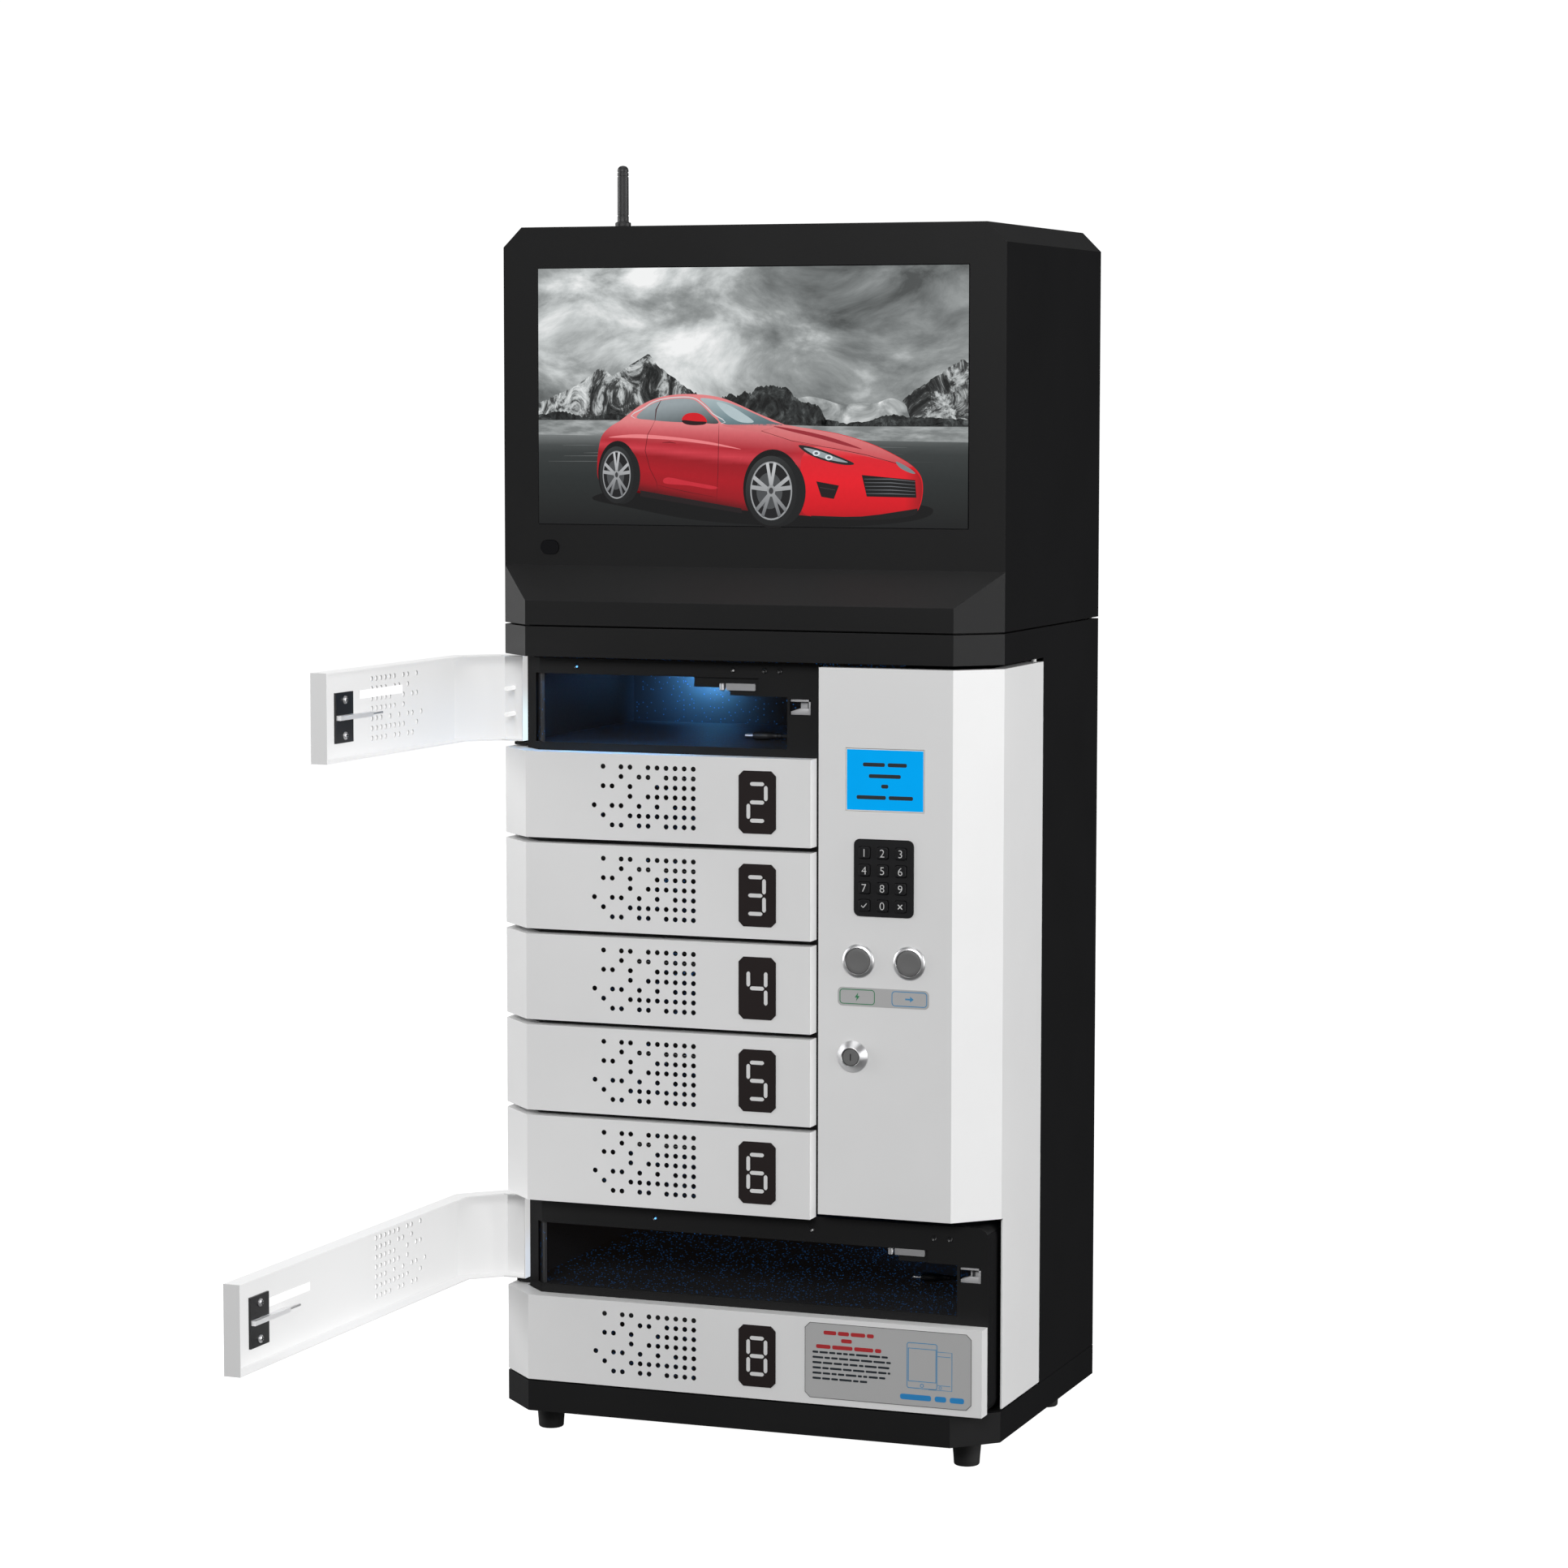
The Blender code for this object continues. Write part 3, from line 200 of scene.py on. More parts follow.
def add_ramp(tree, source, stops):
    """Colour ramp through (position, colour) stops; gives its colour socket."""
    node = add_node(tree, "ValToRGB", {0: source})
    elements = node.color_ramp.elements
    for element, (at, colour) in zip(elements, (stops[0], stops[-1])):
        element.position = at
        element.color = (*colour, 1)
    for at, colour in stops[1:-1]:
        elements.new(at).color = (*colour, 1)
    return node.outputs[0]


def feed(material, inputs):
    """Sets or links inputs of a material's main shader."""
    tree = material.node_tree
    set_inputs(tree, tree.nodes["Principled BSDF"], inputs)


def self_lit(material, strength):
    """Adds an even white glow, for a face that its neighbours would shade too much."""
    feed(material, {"Emission Color": (1, 1, 1, 1), "Emission Strength": strength})


def plain(name, colour, rough, metal=0.0):
    made = bpy.data.materials.new(name)
    made.use_nodes = True
    feed(made, {"Base Color": (*colour, 1), "Roughness": rough, "Metallic": metal})
    return made


def textured(name, colour, rough, metal=0.0, tint=0.06, spread=0.08, grain=900.0,
             bump=0.02, depth=0.0002, stretch=(1, 1, 1), shine=0.5):
    """Procedural finish: cloudy tint, uneven roughness and a fine bump."""
    made = plain(name, colour, rough, metal)
    tree = made.node_tree
    place = add_node(tree, "TexCoord").outputs["Object"]
    place = add_node(tree, "Mapping", {"Scale": stretch, "Vector": place}).outputs[0]
    cloud = add_node(tree, "TexNoise", {"Scale": 14.0, "Detail": 3.0, "Vector": place})
    fine = add_node(tree, "TexNoise", {"Scale": grain, "Detail": 2.0, "Vector": place})
    low = tuple(c * (1 - tint) for c in colour)
    high = tuple(min(c * (1 + tint), 1.0) for c in colour)
    tone = add_ramp(tree, cloud.outputs["Fac"], ((0.3, low), (0.7, high)))
    span = add_node(tree, "MapRange", {"To Min": max(rough - spread, 0.02),
                                       "To Max": min(rough + spread, 1.0),
                                       "Value": fine.outputs["Fac"]})
    relief = add_node(tree, "Bump", {"Strength": bump, "Distance": depth,
                                     "Height": fine.outputs["Fac"]})
    feed(made, {"Specular IOR Level": shine, "Base Color": tone,
                "Roughness": span.outputs[0], "Normal": relief.outputs[0]})
    return made


def glowing(name, colour, strength=1.0, rough=0.35):
    """Lit face: a faint mottling over an even glow."""
    made = plain(name, (0.001, 0.001, 0.001), rough)
    tree = made.node_tree
    place = add_node(tree, "TexCoord").outputs["Object"]
    cloud = add_node(tree, "TexNoise", {"Scale": 60.0, "Vector": place})
    low = tuple(c * 0.97 for c in colour)
    high = tuple(min(c * 1.03, 1) for c in colour)
    feed(made, {"Emission Color": add_ramp(tree, cloud.outputs["Fac"], ((0, low), (1, high))),
                "Emission Strength": strength})
    return made


def lit_lip(name, low):
    """White paint of an open door's lip, with the locker lamp's light painted in as a glow that
    fades upwards from the bottom.
    """
    made = textured(name, (0.80, 0.80, 0.80), 0.42, tint=0.012, grain=1100.0)
    tree = made.node_tree
    place = add_node(tree, "TexCoord").outputs["Generated"]
    split = add_node(tree, "SeparateXYZ", {0: place})
    fade = add_ramp(tree, split.outputs["Z"], ((0.30, low), (0.62, (0.55, 0.55, 0.55))))
    feed(made, {"Emission Color": fade, "Emission Strength": 1.0})
    return made


def lining_with_glints(name):
    """Dark locker lining with a faint even glow and fine blue glints of the locker lamp, painted
    in as glowing dots.
    """
    made = textured(name, (0.0105, 0.012, 0.015), 0.50, tint=0.2, spread=0.1, bump=0.05)
    tree = made.node_tree
    place = add_node(tree, "TexCoord").outputs["Object"]
    dots = add_node(tree, "TexVoronoi", {"Scale": 560.0, "Vector": place})
    core = add_node(tree, "Math", {0: dots.outputs["Distance"], 1: 0.30}, operation="LESS_THAN")
    split = add_node(tree, "SeparateColor", {0: dots.outputs["Color"]})
    rare = add_node(tree, "Math", {0: split.outputs[0], 1: 0.80}, operation="GREATER_THAN")
    both = add_node(tree, "Math", {0: core.outputs[0], 1: rare.outputs[0]},
                    operation="MULTIPLY")
    tone = add_ramp(tree, both.outputs[0],
                    ((0, (0.0024, 0.0018, 0.0014)), (1, (0.010, 0.075, 0.230))))
    feed(made, {"Emission Color": tone, "Emission Strength": 1.0})
    return made


M = {}


def make_materials():
    M["black"] = textured("black_powder_coat", (0.0122, 0.0122, 0.0125), 0.42, grain=1500.0,
                          bump=0.10, depth=0.0003, shine=0.17)
    # darker, duller black for faces that face right and for the frames' left-facing posts:
    # painted shade
    M["black_side"] = textured("black_side_coat", (0.0095, 0.0095, 0.0100), 0.55, grain=1500.0,
                               bump=0.10, depth=0.0003, shine=0.03)
    # painted glow of the locker lamps on the lips of the open doors, bluer on door 1
    M["lit_lip_1"] = lit_lip("lit_lip_1", (0.76, 0.93, 0.97))
    M["lit_lip_7"] = lit_lip("lit_lip_7", (0.58, 0.63, 0.70))
    M["lining"] = lining_with_glints("locker_lining")
    M["white"] = textured("white_powder_coat", (0.80, 0.80, 0.80), 0.42, tint=0.012,
                          spread=0.06, grain=1100.0, bump=0.06, depth=0.0002)
    # inner faces of the doors: darker white with an even painted glow that stands in for light
    # and evens out the shade near the hinge
    M["inner_white_glow"] = textured("white_inner_glow", (0.34, 0.34, 0.34), 0.55, tint=0.01,
                                spread=0.06, grain=1100.0, bump=0.05)
    self_lit(M["inner_white_glow"], 0.52)
    M["rubber"] = textured("foot_rubber", (0.012, 0.012, 0.012), 0.75, grain=2500.0, bump=0.2)
    M["steel"] = textured("brushed_steel", (0.56, 0.56, 0.57), 0.38, 0.75, tint=0.03,
                          spread=0.06, grain=900.0, bump=0.02, stretch=(0.2, 1, 3))
    M["blade"] = textured("bright_blade", (0.88, 0.88, 0.89), 0.30, 0.35, tint=0.02,
                          spread=0.05, grain=900.0, bump=0.02, stretch=(0.2, 1, 3))
    # right return faces of doors 2 to 6: white with an even painted glow for the light that the
    # service panel shades off
    M["edge_white"] = textured("white_lit_edge", (0.80, 0.80, 0.80), 0.42, tint=0.012,
                               grain=1100.0)
    self_lit(M["edge_white"], 0.42)
    M["zinc"] = textured("zinc_sheet", (0.46, 0.46, 0.47), 0.45, 0.25, tint=0.03,
                         spread=0.05, grain=900.0, bump=0.02)
    M["disc"] = textured("button_face", (0.155, 0.155, 0.155), 0.55, 0.2, tint=0.05,
                         grain=2600.0, bump=0.10)
    M["chrome"] = textured("polished_chrome", (0.76, 0.76, 0.77), 0.37, 1.0, tint=0.02,
                           spread=0.04, grain=1400.0, bump=0.01)
    M["plate"] = textured("number_plate", (0.019, 0.014, 0.014), 0.5, grain=1800.0, bump=0.03,
                          shine=0.15)
    M["segment"] = textured("segment_white", (0.72, 0.72, 0.72), 0.4, tint=0.02, grain=1500.0)
    M["pad"] = textured("keypad_black", (0.012, 0.012, 0.013), 0.48, grain=2200.0, bump=0.08,
                        shine=0.2)
    M["key"] = textured("key_black", (0.011, 0.011, 0.012), 0.42, grain=2200.0, bump=0.06,
                        shine=0.2)
    M["legend"] = textured("legend_white", (0.62, 0.62, 0.62), 0.5, tint=0.02, grain=1800.0)
    M["plastic"] = textured("black_plastic", (0.014, 0.014, 0.015), 0.5, grain=1900.0, bump=0.12)
    M["gloss"] = textured("gloss_black", (0.006, 0.006, 0.007), 0.12, tint=0.1, spread=0.03)
    M["glass"] = textured("display_glass", (0.008, 0.008, 0.009), 0.10, tint=0.1, spread=0.02)
    M["striker"] = textured("striker_black", (0.008, 0.008, 0.009), 0.32, grain=1400.0)
    # label strip: white with an even glow, painted light
    M["strip"] = glowing("label_strip", (0.98, 0.98, 0.98), 1.06, 0.4)
    M["lcd"] = glowing("lcd_lit", (0.0, 0.365, 0.86), 1.0, 0.18)
    feed(M["lcd"], {"Specular IOR Level": 0.1})
    M["lcd_edge"] = textured("lcd_edge", (0.86, 0.83, 0.78), 0.35, tint=0.02)
    M["ink"] = textured("ink_dark", (0.010, 0.016, 0.022), 0.5)
    M["sticker"] = textured("sticker_grey", (0.45, 0.45, 0.45), 0.45, tint=0.015, grain=1200.0)
    M["line_dark"] = textured("ink_line", (0.10, 0.10, 0.10), 0.6)
    M["red"] = textured("ink_red", (0.42, 0.02, 0.025), 0.5)
    M["blue"] = textured("ink_blue", (0.05, 0.26, 0.50), 0.5)
    M["blue_text"] = textured("ink_blue_bold", (0.02, 0.24, 0.56), 0.5)
    M["green"] = textured("ink_green", (0.03, 0.22, 0.09), 0.5)
    M["label"] = textured("label_grey", (0.46, 0.46, 0.46), 0.4, tint=0.015)
    # dots on the header screws: a glowing blue dot and a white dot, painted glints
    M["blue_glint"] = glowing("screw_blue_glint", (0.12, 0.45, 1.0), 2.2)
    M["glint"] = textured("screw_glint", (0.80, 0.80, 0.80), 0.25, 0.2, tint=0.02, grain=1500.0)
    M["case"] = textured("supply_case", (0.55, 0.55, 0.56), 0.35, 0.9, grain=600.0)
    # side pins: white with an even glow, painted light
    M["rod"] = glowing("side_rod_glow", (0.95, 0.95, 0.95), 0.93)
    M["board"] = textured("circuit_board", (0.012, 0.10, 0.04), 0.4, tint=0.3, grain=300.0)
    M["brass"] = textured("contact_brass", (0.75, 0.60, 0.28), 0.25, 1.0, grain=900.0)
    M["pin"] = textured("hinge_pin", (0.90, 0.90, 0.90), 0.35, grain=1200.0)


# node: finish, bevel in mm, slot
SKINS = {
    "plinth": ("black", 0.6, "black_body"),
    "cabinet_shell": ("black", 0.5, "black_body"),
    "upper_frame": ("black", 0.35, "black_body"),
    "lower_frame": ("black", 0.5, "black_body"),
    "head_shell": ("black", 0.9, "black_body"),
    "rear_cover": ("black", 0.4, "black_body"),
    "head_rear_cover": ("black", 0.4, "black_body"),
    "service_door": ("white", 0.4, "white_sheet"),
    "keypad_plate": ("pad", 0.25, "black_plastic"),
    "power_inlet": ("plastic", 0.4, "black_plastic"),
    "power_supply": ("case", 0.5, "supply_case"),
}
LOOKS = {
    "upper_rack": "lining", "lower_rack": "lining", "display_panel": "glass",
    "sensor_window": "gloss", "lcd_module": "lcd_edge", "control_board": "board",
    "lock_plug": "disc",
}


def dress_cad():
    """Gives each CAD node that shows its finish."""
    for name, node in NODES.items():
        look = LOOKS.get(name)
        if name.startswith("key_"):
            look = "key"
        elif name.startswith("latch_"):
            look = "steel"
        if look:
            node.data.materials.clear()
            node.data.materials.append(M[look])


def clean_copy(name, node, place=None):
    """Copy of a CAD node's mesh with its flat faces whole again, so that it bevels evenly."""
    mesh = bmesh.new()
    mesh.from_mesh(node.data)
    if place is not None:
        bmesh.ops.transform(mesh, matrix=place.inverted(), verts=mesh.verts)
    bmesh.ops.remove_doubles(mesh, verts=mesh.verts, dist=1e-5)
    bmesh.ops.dissolve_limit(mesh, angle_limit=math.radians(1), verts=mesh.verts,
                             edges=mesh.edges)
    data = bpy.data.meshes.new(name)
    mesh.to_mesh(data)
    mesh.free()
    return add_object(name, data)


def soften(piece, width, angle=30):
    edge = piece.modifiers.new("edge", "BEVEL")
    edge.width = width
    edge.segments = 2
    edge.limit_method = "ANGLE"
    edge.angle_limit = math.radians(angle)


def add_skins():
    """Bevelled copies of the sheet-metal nodes, whose folded edges take the light."""
    for name, (look, width, slot) in SKINS.items():
        piece = clean_copy(f"{name}_skin", NODES[name])
        soften(piece, width * MM)
        bpy.context.view_layer.update()
        apply_modifiers(piece)
        piece.data.materials.clear()
        piece.data.materials.append(M[look])
        if look == "black":
            piece.data.materials.append(M["black_side"])
            piece.data.materials.append(M["lining"])
            # faces that face right and the frames' left-facing posts take the darker black as
            # painted shade; the cabinet's inner left wall takes the lining
            for face in piece.data.polygons:
                side = face.normal.x > 0.9
                post = name.endswith("_frame") and face.normal.x < -0.5
                lining = side and name == "cabinet_shell" and face.center.x < 0
                face.material_index = 2 if lining else int(side or post)
        even_shading(piece, 50)
        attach(piece, SERVICE if name in ("service_door", "keypad_plate") else "cabinet")
        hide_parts(name)


# ---------------------------------------------------------------- mesh helpers

def even_shading(piece, angle):
    """Smooth over small bends only, with the large flat faces kept truly flat."""
    piece.data.shade_smooth()
    piece.data.set_sharp_from_angle(angle=math.radians(angle))
    weighted = piece.modifiers.new("weighted", "WEIGHTED_NORMAL")
    weighted.keep_sharp = True
    weighted.weight = 90


def finish_piece(name, mesh, looks, body, matrix=None, smooth=None):
    """Turns a bmesh into a piece that rides on a body."""
    if matrix is not None:
        bmesh.ops.transform(mesh, matrix=matrix, verts=mesh.verts)
    data = bpy.data.meshes.new(name)
    mesh.to_mesh(data)
    mesh.free()
    for look in looks:
        data.materials.append(M[look])
    if smooth is not None:
        data.shade_smooth()
        data.set_sharp_from_angle(angle=math.radians(smooth))
    piece = add_object(name, data)
    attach(piece, body)
    return piece


def add_slab(mesh, outline, near, far, look=0, bevel=0.0):
    """Closed slab from an (x, z) outline, from y = near (front) to y = far."""
    front, back = ([mesh.verts.new((x, y, z)) for x, z in outline] for y in (near, far))
    faces = [mesh.faces.new(front), mesh.faces.new(back)]
    for i, vert in enumerate(front):
        faces.append(mesh.faces.new((front[i - 1], vert, back[i], back[i - 1])))
    for face in faces:
        face.material_index = look
    bmesh.ops.recalc_face_normals(mesh, faces=faces)
    if bevel:
        bmesh.ops.bevel(mesh, geom=list(faces[0].edges), offset=bevel, segments=2,
                        affect="EDGES", profile=0.5)


def rect(x0, x1, z0, z1):
    return [(x0, z0), (x1, z0), (x1, z1), (x0, z1)]


def cut_rect(x0, x1, z0, z1, c):
    return [(x0 + c, z0), (x1 - c, z0), (x1, z0 + c), (x1, z1 - c), (x1 - c, z1),
            (x0 + c, z1), (x0, z1 - c), (x0, z0 + c)]


def round_rect(x0, x1, z0, z1, r, steps=6):
    points = []
    for cx, cz, start in ((x1 - r, z0 + r, -90), (x1 - r, z1 - r, 0),
                          (x0 + r, z1 - r, 90), (x0 + r, z0 + r, 180)):
        for i in range(steps + 1):
            turn = math.radians(start + 90 * i / steps)
            points.append((cx + r * math.cos(turn), cz + r * math.sin(turn)))
    return points


def ring_slab(mesh, outer, inner, near, far, look=0):
    """Frame between two outlines with the same number of points."""
    count = len(outer)
    loops = []
    for y in (near, far):
        for line in (outer, inner):
            loops.append([mesh.verts.new((x, y, z)) for x, z in line])
    a, b, c, d = loops
    for i in range(count):
        j = (i + 1) % count
        for quad in ((a[i], a[j], b[j], b[i]), (c[i], d[i], d[j], c[j]),
                     (a[i], c[i], c[j], a[j]), (b[i], b[j], d[j], d[i])):
            face = mesh.faces.new(quad)
            face.material_index = look
    bmesh.ops.recalc_face_normals(mesh, faces=mesh.faces[:])


def turned(mesh, profile, steps=48, look=0):
    """Turns (height, radius) pairs about Z, closed at both ends."""
    rings = []
    for height, radius in profile:
        ring = []
        for i in range(steps):
            turn = 2 * math.pi * i / steps
            ring.append(mesh.verts.new((radius * math.cos(turn), radius * math.sin(turn),
                                        height)))
        rings.append(ring)
    faces = [mesh.faces.new(rings[0]), mesh.faces.new(list(reversed(rings[-1])))]
    for low, high in zip(rings, rings[1:]):
        for i in range(steps):
            j = (i + 1) % steps
            faces.append(mesh.faces.new((low[i], high[i], high[j], low[j])))
    for face in faces:
        face.material_index = look
    bmesh.ops.recalc_face_normals(mesh, faces=faces)
    return faces


def facing(x, y, z, turn=90):
    """Turns local +Z to face forwards at a point, or backwards with -90."""
    return Matrix.Translation((x, y, z)) @ Matrix.Rotation(math.radians(turn), 4, "X")


def join_mesh(target, other):
    """Moves one bmesh's geometry into another and frees it."""
    data = bpy.data.meshes.new("part")
    other.to_mesh(data)
    other.free()
    target.from_mesh(data)
    bpy.data.meshes.remove(data)


def add_turned(mesh, profile, steps, where):
    """Adds a small turned part at its place."""
    part = bmesh.new()
    turned(part, profile, steps)
    bmesh.ops.transform(part, matrix=where, verts=part.verts)
    join_mesh(mesh, part)


def door_top(number):
    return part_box("plinth")[1].z + 0.0014 + DOOR_HEIGHT + DOOR_PITCH * (8 - number)


def door_matrix(number):
    """Carries closed-door coordinates to the door's place at rest."""
    if number not in OPEN_DOORS:
        return Matrix.Identity(4)
    hinge = JOINTS[f"door_{number}_hinge"]
    x, y, _ = hinge["pos_m"]
    turn = -math.radians(hinge["range_deg"][1])
    there = Matrix.Translation((x, y, 0))
    return there @ Matrix.Rotation(turn, 4, "Z") @ Matrix.Translation((-x, -y, 0))


def door_end(number):
    return 0.1964 if number in WIDE_DOORS else 0.0602


def striker_left(number):
    """Left edge of the striker plate inside a door."""
    return door_end(number) - 0.0612


def apply_modifiers(obj):
    graph = bpy.context.evaluated_depsgraph_get()
    data = bpy.data.meshes.new_from_object(obj.evaluated_get(graph))
    obj.modifiers.clear()
    obj.data = data


# ---------------------------------------------------------------- doors

HOLE_ROWS = (
    (1, 3, 4, 6, 7, 8, 9, 10, 11), (3, 5, 6, 8, 9, 10, 11), (1, 2, 4, 7, 8, 9, 10, 11),
    (4, 6, 7, 8, 9, 10, 11), (0, 2, 3, 5, 7, 9, 10, 11), (1, 4, 5, 6, 7, 8, 9, 10, 11),
    (2, 3, 5, 6, 8, 9, 10, 11),
)
HOLE_PITCH = (0.00736, 0.0074)
HOLE_RADIUS = 0.00196


def hole_cutter(top):
    mesh = bmesh.new()
    for row, columns in enumerate(HOLE_ROWS):
        z = top - 0.0099 - HOLE_PITCH[1] * row
        for column in columns:
            x = -0.1148 + HOLE_PITCH[0] * column
            where = facing(x, FRONT + 0.0005, z)
            bmesh.ops.create_cone(mesh, cap_ends=True, segments=16, radius1=HOLE_RADIUS,
                                  radius2=HOLE_RADIUS, depth=0.006, matrix=where)
    data = bpy.data.meshes.new("holes")
    mesh.to_mesh(data)
    mesh.free()
    return add_object("holes", data)


COATS = ("front", "dark", "blade", "pin", "lip", "inner", "edge")


def door_coat(number, top, face):
    """Which of COATS a face of a door's skin takes."""
    x, y, z = face.center
    opened = number in OPEN_DOORS
    plate = striker_left(number)
    inside = FRONT + 0.0011 < y < FRONT + 0.012 and plate - 0.027 < x < plate + 0.0273
    bore = FRONT + 1e-4 < y < FRONT + 9e-4 and -0.12 < x < -0.03 and z < top - 0.007
    blade = inside and top - 0.0371 <= z <= top - 0.0335
    # the bore walls of closed doors take the black striker paint: painted shade in the holes
    if bore and not opened and abs(face.normal.y) < 0.1:
        return "dark"
    if blade and y > FRONT + 0.0028:
        return "blade"
    if inside and plate - 1e-4 <= x and top - 0.0541 <= z <= top - 0.0167:
        return "dark"
    if blade:
        return "blade"
    if z > top + 1e-4 or z < top - DOOR_HEIGHT - 1e-4:
        return "pin"
    # the lip of an open door takes the painted lamp glow
    if y > -0.0857 and face.normal.y > 0.9:
        return "lip"
    # inner faces take the glowing inner white: painted light
    if face.normal.y > 0.3:
        return "inner"
    # the right return faces of doors 2 to 6 take the glowing white: painted light
    if 2 <= number <= 6 and face.normal.x > 0.9 and x > door_end(number) - 0.001:
        return "edge"
    # upward faces of an open door also take the glowing inner white: painted light
    if opened and face.normal.z > 0.9 and y > FRONT + 0.002:
        return "inner"
    return "front"


def door_skin(number):
    """The door's sheet metal with folded, softly rounded edges and its pierced pattern."""
    node = NODES[f"door_{number}"]
    place = door_matrix(number)
    top = door_top(number)
    skin = clean_copy(f"door_skin_{number}", node, place)
    soften(skin, 0.00045)
    cutter = hole_cutter(top)
    holes = skin.modifiers.new("holes", "BOOLEAN")
    holes.operation = "DIFFERENCE"
    holes.solver = "EXACT"
    holes.object = cutter
    bpy.context.view_layer.update()
    apply_modifiers(skin)
    bpy.data.objects.remove(cutter)
    skin.data.materials.clear()
    lip = f"lit_lip_{number}" if number in OPEN_DOORS else "white"
    for look in ("white", "striker", "blade", "pin", lip, "inner_white_glow", "edge_white"):
        skin.data.materials.append(M[look])
    for face in skin.data.polygons:
        face.material_index = COATS.index(door_coat(number, top, face))
    skin.data.transform(place)
    even_shading(skin, 50)
    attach(skin, f"locker_door_{number}")
    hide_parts(f"door_{number}")


SEGMENTS = {1: "bc", 2: "abged", 3: "abgcd", 4: "fgbc", 5: "afgcd", 6: "afgedc",
            7: "abc", 8: "abcdefg"}


def hexagon(cx, cz, long, thick, upright):
    a, b = long / 2, thick / 2
    tip = b * 0.62
    points = [(-a, 0), (-a + tip * 0.35, -b * 0.55), (-a + tip * 1.5, -b), (a - tip * 1.5, -b),
              (a - tip * 0.35, -b * 0.55), (a, 0), (a - tip * 0.35, b * 0.55),
              (a - tip * 1.5, b), (-a + tip * 1.5, b), (-a + tip * 0.35, b * 0.55)]
    if upright:
        points = [(z, x) for x, z in points]
    return [(cx + x, cz + z) for x, z in points]


def number_plate(number):
    top = door_top(number)
    left, right = 0.0028, 0.0328
    high, low = top - 0.0095, top - 0.0568
    mesh = bmesh.new()
    add_slab(mesh, cut_rect(left, right, low, high, 0.0038), FRONT - 0.0005, FRONT + 0.0001,
             0, 0.00012)
    mid_x, mid_z = (left + right) / 2, (low + high) / 2
    spots = {"a": (0, 13.8, 0), "g": (0, 0, 0), "d": (0, -13.8, 0), "b": (7.0, 6.9, 1),
             "c": (7.0, -6.9, 1), "f": (-7.0, 6.9, 1), "e": (-7.0, -6.9, 1)}
    lit = [spots[s] for s in SEGMENTS[number]]
    reach = [x + s * (1.45 if upright else 5.7) for x, _, upright in lit for s in (-1, 1)]
    shift = (min(reach) + max(reach)) / 2
    for x, z, upright in lit:
        shape = hexagon(mid_x + (x - shift) * MM, mid_z + z * MM, 0.0114, 0.0029, upright)
        add_slab(mesh, shape, FRONT - 0.00075, FRONT - 0.0004, 1)
    finish_piece(f"number_plate_{number}", mesh, ("plate", "segment"),
                 f"locker_door_{number}", door_matrix(number))


def striker_details(number):
    """Screws, the striker's thin tip, a bright label strip and the side return's pins, the strip
    and pins glowing white as painted light.
    """
    top = door_top(number)
    plate = striker_left(number)
    back = FRONT + 0.0010
    mesh = bmesh.new()
    for drop in (0.0225, 0.0488):
        add_turned(mesh, ((0.0, 0.0030), (0.0008, 0.0029), (0.0015, 0.0022),
                          (0.0018, 0.0012), (0.0019, 0.0002)), 28,
                   facing(plate + 0.0133, back + 0.0018, top - drop, -90))
        for long, thick in ((0.0018, 0.0004), (0.0004, 0.0018)):
            add_slab(mesh, rect(plate + 0.0133 - long, plate + 0.0133 + long,
                                top - drop - thick, top - drop + thick),
                     back + 0.0036, back + 0.00385, 1)
    tip = [(plate - 0.0255, top - 0.0362), (plate - 0.0255, top - 0.0344),
           (plate - 0.0300, top - 0.0348), (plate - 0.0432, top - 0.0345),
           (plate - 0.0438, top - 0.0353), (plate - 0.0432, top - 0.0360),
           (plate - 0.0300, top - 0.0359)]
    add_slab(mesh, tip, back + 0.0022, back + 0.0038, 0, 0.0002)
    finish_piece(f"striker_{number}", mesh, ("steel", "striker"), f"locker_door_{number}",
                 door_matrix(number), 40)
    mesh = bmesh.new()
    aside, lower = (0.0180, 0.0054) if number in WIDE_DOORS else (0, 0)
    left = door_end(number) - 0.1432 + aside
    high = top - 0.0173 - lower
    strip = round_rect(left, left + 0.0694, high - 0.0063, high, 0.0004, 2)
    add_slab(mesh, strip, back - 0.0001, back + 0.0001, 1)
    add_slab(mesh, strip, back + 0.0001, back + 0.00025)
    finish_piece(f"label_strip_{number}", mesh, ("strip", "striker"),
                 f"locker_door_{number}", door_matrix(number))
    if number in WIDE_DOORS:
        return
    mesh = bmesh.new()
    for drop in (0.0260, 0.0460):
        where = Matrix.Translation((-0.2006, -0.0996, top - drop))
        add_turned(mesh, ((0.0, 0.0017), (0.0136, 0.0017), (0.0145, 0.0013)), 20,
                   where @ Matrix.Rotation(math.radians(90), 4, "Y"))
    finish_piece(f"side_pins_{number}", mesh, ("rod",), f"locker_door_{number}",
                 door_matrix(number), 40)


def polyline(mesh, points, width, near, far, look=0, closed=False):
    """Flat line of even width along (x, z) points, mitred at its corners."""
    count = len(points)
    left, right = [], []
    for i, (x, z) in enumerate(points):
        before = points[i - 1] if closed or i else points[i]
        after = points[(i + 1) % count] if closed or i < count - 1 else points[i]
        dx, dz = after[0] - before[0], after[1] - before[1]
        size = math.hypot(dx, dz) or 1.0
        left.append((x - dz / size * width / 2, z + dx / size * width / 2))
        right.append((x + dz / size * width / 2, z - dx / size * width / 2))
    if closed:
        ring_slab(mesh, left, right, near, far, look)
    else:
        add_slab(mesh, left + list(reversed(right)), near, far, look)


